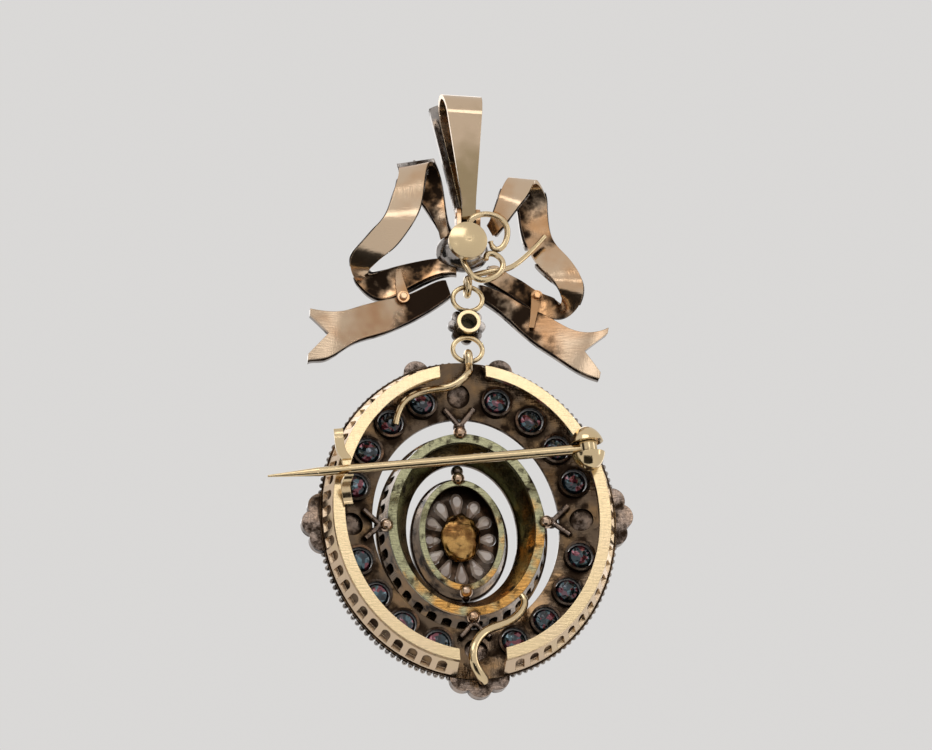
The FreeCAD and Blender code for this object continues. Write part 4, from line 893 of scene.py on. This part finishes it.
def footed_ball(segments, rings, waist, foot):
    """A ball of unit radius on a short foot that points along +Z."""
    ball = new_ball(segments, rings)
    pick(ball, lambda place: place.z > FOOT_START)
    bpy.ops.transform.resize(
        value=(waist, waist, FOOT_FLATTEN), center_override=(0, 0, FOOT_MIDDLE)
    )
    bpy.ops.mesh.extrude_region_move(TRANSFORM_OT_translate={"value": (0, 0, foot)})
    bpy.ops.object.mode_set(mode="OBJECT")
    bpy.ops.object.shade_smooth_by_angle(angle=SMOOTH_ANGLE)
    return ball


# ------------------------------------------------------------------ pieces

FRONT = Vector((0, 1, 0))

STONE_LEVELS = [
    (0.55, 0.36, 0, 0),
    (0.82, 0.22, 1, 0),
    (1, 0.05, 0, 0),
    (1, -0.1, 0, 0),
    (0.94, -0.32, 1, 0),
    (0.77, -0.52, 0, 0),
    (0.5, -0.66, 1, 0),
    (0.2, -0.72, 0, 0),
]
STONE_DEPTH = 0.36 + 0.72
GIRDLE_SHARE = 0.75 / (0.75 + 0.38)
SEAT_FIT = 1.09
# CAD node, piece, material and corners
PENDANT_STONES = (
    ("ring_stones", "ring_domes", "dark_stone", 16),
    ("centre_stone", "centre_brilliant", "amber_stone", 10),
)


class BROOCH_OT_stones(bpy.types.Operator):
    """Cut the ring's domed stones and the centre stone, each to fill its seat"""

    bl_idname = "brooch.stones"
    bl_label = "Cut the Pendant's Stones"

    def execute(self, context):
        for node, name, material, corners in PENDANT_STONES:
            model = faceted_model(STONE_LEVELS, corners)
            places = []
            for triangles in solids_of(node):
                low, high, girdle = extents(points_of(triangles))
                half = (high - low) / 2
                thick = high.y - low.y
                girdle.y = low.y + thick * GIRDLE_SHARE
                # the model's X, Y and Z end up along -X, +Z and +Y
                grow = scaled(SEAT_FIT * half.x, SEAT_FIT * half.z, thick / STONE_DEPTH)
                places.append(Matrix.Translation(girdle) @ facing(FRONT) @ grow)
            copies(name, model, places, "pendant", material, material, (node,))
            drop(model)
        return {"FINISHED"}


PETAL_LEVELS = [
    (0.95, -0.6, 0, 0),
    (0.38, -0.6, 0, -1.55),
    (1, 0, 0, 0),
    (0.4, 0, 0, -1.55),
    (0.62, 0.5, 0, -0.05),
    (0.14, 0.4, 0, -1.4),
]
PETAL_CORNERS = 12
PETAL_REACH = 1.95
PETAL_HEIGHT = 0.5 * MM
BOSS_LUMP = 0.42
BOSS_HAMMER = 0.3
BOSS_RISE = 0.2 * MM
BOSS_HEIGHT = 0.8 * MM
BOSS_FIT = 1.06


class BROOCH_OT_petals(bpy.types.Operator):
    """Lay long petal stones round the centre, and the hammered boss over its collet"""

    bl_idname = "brooch.petals"
    bl_label = "Lay the Petals and the Boss"

    def execute(self, context):
        low, high, middle = box_of("centre_collet")
        half = (high - low) / 2
        back = box_of("petal_plate")[0].y
        model = faceted_model(PETAL_LEVELS, PETAL_CORNERS)
        places = []
        for triangles in solids_of("petal_stones"):
            spot = mean_of(triangles)
            out = Vector((spot.x - middle.x, 0, spot.z - middle.z))
            away = out.length
            out.normalize()
            turn = Matrix(
                (
                    (out.x, -out.z, 0, spot.x),
                    (0, 0, -1, back),
                    (out.z, out.x, 0, spot.z),
                    (0, 0, 0, 1),
                )
            )
            stretch = (away - oval_reach(half, out)) / PETAL_REACH
            places.append(turn @ scaled(stretch, sizes().petal_width, PETAL_HEIGHT))
        replaced = ("petal_stones",)
        copies("petal_slices", model, places, "pendant", "petal_stone", "petal_stone", replaced)
        drop(model)

        boss = new_ball(segments=48, rings=28)
        lumps = bpy.data.textures.new("boss_lumps", "CLOUDS")
        lumps.noise_scale = BOSS_LUMP
        hammer = boss.modifiers.new("lumps", "DISPLACE")
        hammer.texture, hammer.strength = lumps, BOSS_HAMMER
        bpy.ops.object.modifier_apply(modifier="lumps")
        bpy.ops.object.shade_smooth()
        seat = Matrix.Translation(Vector((middle.x, low.y + BOSS_RISE, middle.z)))
        grow = scaled(BOSS_FIT * half.x, BOSS_HEIGHT, BOSS_FIT * half.z)
        copies("centre_boss", boss, [seat @ grow], "pendant", "boss_gold", "amber_stone")
        drop(boss)
        return {"FINISHED"}


BALL_LAP = 0.15 * MM
BALL_RISE = 0.1 * MM
GRAINS = 144
GRAIN_RISE = 0.5 * MM
GRAIN_ROOM = 2


class BROOCH_OT_grains(bpy.types.Operator):
    """Set the balls that join the oval rims, and the row of grains round the pendant's edge"""

    bl_idname = "brooch.grains"
    bl_label = "Set the Balls and Grains"

    def execute(self, context):
        ball = footed_ball(segments=20, rings=12, waist=0.8, foot=0.9)
        size = sizes().ball_radius
        places = []
        for rim, joints in (("middle_rim", "joining_balls"), ("inner_rim", "inner_balls")):
            low, high, middle = box_of(rim)
            half = (high - low) / 2
            for triangles in solids_of(joints):
                joint = mean_of(triangles)
                out = Vector((joint.x - middle.x, 0, joint.z - middle.z)).normalized()
                edge = oval_reach(half, out) + BALL_LAP
                spot = Vector((middle.x, low.y + BALL_RISE, middle.z)) + out * edge
                turned = Matrix.Translation(spot) @ facing(FRONT)
                places.append(turned @ scaled(size, size, size))
        copies("rim_balls", ball, places, "pendant", "ball_gold", "polished_gold")
        drop(ball)

        grain = footed_ball(segments=8, rings=6, waist=0.9, foot=0.5)
        size = sizes().grain_radius
        low, high, middle = box_of("settings_plate")
        ring_low, ring_high, _ = box_of("link_rings")
        half = (high - low) / 2
        depth = low.y + GRAIN_RISE
        places = []
        for k in range(GRAINS):
            angle = 2 * math.pi * k / GRAINS
            across, up = math.sin(angle) * half.x, math.cos(angle) * half.z
            spot = Vector((middle.x + across, depth, middle.z + up))
            # the link's ring hangs over the edge here and needs room to swing
            if spot.z + GRAIN_ROOM * size > ring_low.z and ring_low.x < spot.x < ring_high.x:
                continue
            inward = Vector((middle.x - spot.x, 0, middle.z - spot.z))
            turned = Matrix.Translation(spot) @ facing(inward)
            places.append(turned @ scaled(size, size, size))
        copies("edge_grains", grain, places, "pendant", "claw_silver", "aged_silver")
        drop(grain)
        return {"FINISHED"}


SOLDER_START = 0.8
SOLDER_SWELL = (1.1, 1.0, 1.18)


class BROOCH_OT_hook_eye(bpy.types.Operator):
    """Close the bow's hook with the eye that the link hangs in"""

    bl_idname = "brooch.hook_eye"
    bl_label = "Close the Bow's Hook"

    def execute(self, context):
        low, high, middle = box_of("link_rings")
        wire = (high.y - low.y) / 2
        seat = Vector((middle.x, middle.y, high.z - wire))
        top = sizes().eye_radius
        deselect()
        bpy.ops.mesh.primitive_torus_add(
            major_segments=48, minor_segments=20, major_radius=top, minor_radius=sizes().eye_wire
        )
        eye = context.object
        # the wire swells where the hook's tail is soldered to it
        pick(eye, lambda place: place.y > SOLDER_START * top)
        bpy.ops.transform.resize(value=SOLDER_SWELL, center_override=(0, top, 0))
        bpy.ops.object.mode_set(mode="OBJECT")
        bpy.ops.object.shade_smooth()
        place = Matrix.Translation(seat) @ facing(Vector((1, 0, 0)))
        copies("hook_eye", eye, [place], "bow", "wire_gold", "polished_gold")
        drop(eye)
        return {"FINISHED"}


CLAWED = {
    "bail": ["bail_stones"],
    "bow": ["bow_stones"],
    "link": ["link_stone"],
    "pendant": ["middle_stones", "fleurette_stones"],
}
CLAWS_PER_STONE = 4
# in half turns, from the stone's own X
FIRST_CLAW = 0.25
CLAW_WAIST = -0.3
CLAW_TAPER = 0.8
CLAW_FOOT = 0.8
CLAW_LEAN = -0.35
# shares of the stone's radius and of the claw's width
CLAW_RISE = 0.26
CLAW_WIDEST = 0.24
CLAW_HEIGHT = 1.1


class BROOCH_OT_claws(bpy.types.Operator):
    """Set rubbed silver claws round every stone of the front"""

    bl_idname = "brooch.claws"
    bl_label = "Set the Claws"

    def execute(self, context):
        claw = new_ball(segments=8, rings=6)
        pick(claw, lambda place: place.z < CLAW_WAIST)
        bpy.ops.transform.resize(value=(CLAW_TAPER, CLAW_TAPER, 1))
        bpy.ops.transform.translate(value=(0, 0, -CLAW_FOOT))
        bpy.ops.object.mode_set(mode="OBJECT")
        bpy.ops.object.shade_smooth()
        for body, nodes in CLAWED.items():
            places = []
            for node in nodes:
                for triangles in solids_of(node):
                    places.extend(claw_places(triangles))
            copies(f"{body}_claws", claw, places, body, "claw_silver", "aged_silver")
        drop(claw)
        return {"FINISHED"}


def claw_places(triangles):
    """Where the claws round one stone stand."""
    centre, normal, radius = flat_side(triangles)
    turned = Matrix.Translation(centre) @ facing(-normal)
    width = min(sizes().claw_radius, CLAW_WIDEST * radius)
    for k in range(CLAWS_PER_STONE):
        angle = math.pi * (FIRST_CLAW + 2 / CLAWS_PER_STONE * k)
        spot = Vector((math.cos(angle), math.sin(angle), CLAW_RISE)) * radius
        lean = Matrix.Rotation(CLAW_LEAN, 4, Vector((-math.sin(angle), math.cos(angle), 0)))
        grow = scaled(width, width, CLAW_HEIGHT * width)
        yield turned @ Matrix.Translation(spot) @ lean @ grow


# ------------------------------------------------------------------ studio

TARGET = Vector((0.4, 0, -29.8)) * MM
LIGHTS = [
    # name, direction from the brooch, distance, width, height, share of the key's power
    ("key_light", (-0.35, -0.75, 0.75), 0.55, 0.35, 0.25, 1.0),
    ("ring_light", (0.15, -0.93, 0.36), 0.7, 0.16, 0.12, 0.2),
    ("side_light", (1.0, -0.3, 0.2), 0.6, 0.15, 0.4, 0.6),
    ("back_light", (-0.2, 0.9, 0.6), 0.7, 0.5, 0.4, 1.4),
    ("front_strip", (0.7, 0.8, -0.1), 0.5, 0.08, 0.4, 0.25),
]
SPARKS = [
    # small bright lamps that the facets catch
    ("spark_left", (-0.5, -0.9, 0.1), 0.6),
    ("spark_right", (0.45, -0.9, 0.55), 0.6),
    ("spark_low", (0.1, -0.9, -0.7), 0.6),
    ("spark_front", (0.4, 0.9, 0.4), 0.6),
]
SPARK_RADIUS = 0.006
SPARK_SHARE = 0.12
CARDS = [
    # dark cards that only the metal sees: name, direction, distance, width, height
    ("low_card", (-0.15, -0.6, -1.0), 0.42, 0.5, 0.36),
    ("left_card", (-1.0, -0.5, 0.1), 0.7, 0.35, 0.8),
]
CARD_COLOUR = (0.02, 0.018, 0.016, 1)
FLOOR_SIZE = 6
PAPER_SCALE = 30
PAPER_SHADE = 0.97
PAPER_ROUGHNESS = 0.9
PAPER_GLOW = 0.46
BACKDROP_TINT = (1, 0.985, 0.97)
FILL_COLOUR = (0.5, 0.49, 0.48, 1)
CLIP_START = 0.01


def aim(way):
    """The unit direction out to a lamp or card, and the turn that faces it to the brooch."""
    back = Vector(way).normalized()
    return back, back.to_track_quat("Z", "Y").to_euler()


def lay_floor(look):
    """Paper that glows a little to the lens and to mirrors, and keeps the brooch's shadow."""
    bpy.ops.mesh.primitive_plane_add(size=FLOOR_SIZE, location=(0, 0, -look.floor_drop))
    floor = bpy.context.object
    floor.name = "studio_floor"
    bpy.ops.object.transform_apply()
    material, tree, shader = new_material("studio_paper")
    coordinates = object_place(tree)
    pale = [look.backdrop] * 3
    shaded = [PAPER_SHADE * part for part in pale]
    grain = noise(tree, coordinates, PAPER_SCALE, detail=3)
    tree.links.new(blend_colour(tree, grain, pale, shaded), shader.inputs["Base Color"])
    shader.inputs["Roughness"].default_value = PAPER_ROUGHNESS
    ray = tree.nodes.new("ShaderNodeLightPath").outputs
    seen = math_node(tree, "MAXIMUM", ray["Is Camera Ray"], ray["Is Transmission Ray"])
    seen = math_node(tree, "MAXIMUM", seen, ray["Is Glossy Ray"])
    shader.inputs["Emission Color"].default_value = (*pale, 1)
    glow = math_node(tree, "MULTIPLY", seen, PAPER_GLOW)
    tree.links.new(glow, shader.inputs["Emission Strength"])
    floor.data.materials.append(material)


def hang_backdrop(look):
    """A pale world for the lens and for mirrors, and a grey one that fills the shadows."""
    world = bpy.data.worlds.new("studio_world")
    bpy.context.scene.world = world
    world.use_nodes = True
    tree = world.node_tree
    tree.nodes.clear()
    ray = tree.nodes.new("ShaderNodeLightPath").outputs
    seen = math_node(tree, "ADD", ray["Is Camera Ray"], ray["Is Transmission Ray"], clamp=True)
    seen = math_node(tree, "ADD", seen, ray["Is Glossy Ray"], clamp=True)
    backdrop = tree.nodes.new("ShaderNodeBackground")
    tinted = [look.backdrop * part for part in BACKDROP_TINT]
    backdrop.inputs["Color"].default_value = (*tinted, 1)
    fill = tree.nodes.new("ShaderNodeBackground")
    fill.inputs["Color"].default_value = FILL_COLOUR
    mixed = tree.nodes.new("ShaderNodeMixShader")
    for index, source in enumerate((seen, fill.outputs[0], backdrop.outputs[0])):
        tree.links.new(source, mixed.inputs[index])
    output = tree.nodes.new("ShaderNodeOutputWorld")
    tree.links.new(mixed.outputs[0], output.inputs["Surface"])


def set_lights(look):
    for name, way, distance, width, height, power in LIGHTS:
        back, turn = aim(way)
        bpy.ops.object.light_add(type="AREA")
        lamp = bpy.context.object
        lamp.name = name
        lamp.location = TARGET + back * distance
        lamp.rotation_euler = turn
        lamp.data.shape = "RECTANGLE"
        lamp.data.size, lamp.data.size_y = width, height
        lamp.data.energy = power * look.key_power
    for name, way, distance in SPARKS:
        spot = TARGET + aim(way)[0] * distance
        bpy.ops.object.light_add(type="POINT", radius=SPARK_RADIUS, location=spot)
        spark = bpy.context.object
        spark.name = name
        spark.data.energy = SPARK_SHARE * look.key_power


def set_cards():
    for name, way, distance, width, height in CARDS:
        back, turn = aim(way)
        spot = TARGET + back * distance
        bpy.ops.mesh.primitive_plane_add(size=1, location=spot, rotation=turn)
        card = bpy.context.object
        card.name = name
        card.scale = (width, height, 1)
        bpy.ops.object.transform_apply()
        card.visible_camera = False
        card.visible_shadow = False
        card.visible_diffuse = False
        black, _, shader = new_material(name)
        shader.inputs["Base Color"].default_value = CARD_COLOUR
        shader.inputs["Roughness"].default_value = 1
        card.data.materials.append(black)


def set_camera(look):
    bpy.ops.object.camera_add()
    camera = bpy.context.object
    camera.data.lens = look.lens
    a, e = look.camera_azimuth, look.camera_elevation
    back = Vector((math.sin(a) * math.cos(e), -math.cos(a) * math.cos(e), math.sin(e)))
    half = math.atan(camera.data.sensor_width / 2 / camera.data.lens)
    camera.location = TARGET + back * (look.view_width / 2 / math.tan(half))
    camera.rotation_euler = back.to_track_quat("Z", "Y").to_euler()
    camera.data.clip_start = CLIP_START
    bpy.context.scene.camera = camera


class BROOCH_OT_stage(bpy.types.Operator):
    """Set the floor, the backdrop, the soft lights and the camera"""

    bl_idname = "brooch.stage"
    bl_label = "Set the Studio"

    def execute(self, context):
        look = studio()
        lay_floor(look)
        hang_backdrop(look)
        set_lights(look)
        set_cards()
        set_camera(look)
        context.scene.view_settings.view_transform = "Standard"
        return {"FINISHED"}


# ------------------------------------------------------------------ the add-on

STEPS = (
    BROOCH_OT_metal,
    BROOCH_OT_stones,
    BROOCH_OT_petals,
    BROOCH_OT_grains,
    BROOCH_OT_hook_eye,
    BROOCH_OT_claws,
    BROOCH_OT_stage,
)


class BROOCH_PT_panel(bpy.types.Panel):
    """Sizes, colours and pieces of the brooch"""

    bl_idname = "BROOCH_PT_panel"
    bl_label = "Bow Pendant Brooch"
    bl_space_type = "VIEW_3D"
    bl_region_type = "UI"
    bl_category = "Brooch"

    def draw(self, context):
        for group in (sizes(), colours(), studio()):
            box = self.layout.box()
            for prop in group.__annotations__:
                box.prop(group, prop)
        for step in STEPS:
            self.layout.operator(step.bl_idname)


CLASSES = (BroochSizes, BroochColours, BroochStudio, *STEPS, BROOCH_PT_panel)


def register():
    for cls in CLASSES:
        bpy.utils.register_class(cls)
    bpy.types.Scene.brooch_sizes = PointerProperty(type=BroochSizes)
    bpy.types.Scene.brooch_colours = PointerProperty(type=BroochColours)
    bpy.types.Scene.brooch_studio = PointerProperty(type=BroochStudio)


def unregister():
    del bpy.types.Scene.brooch_studio
    del bpy.types.Scene.brooch_colours
    del bpy.types.Scene.brooch_sizes
    for cls in reversed(CLASSES):
        bpy.utils.unregister_class(cls)


def main():
    register()
    for step in STEPS:
        package, name = step.bl_idname.split(".")
        getattr(getattr(bpy.ops, package), name)()


if __name__ == "__main__":
    main()
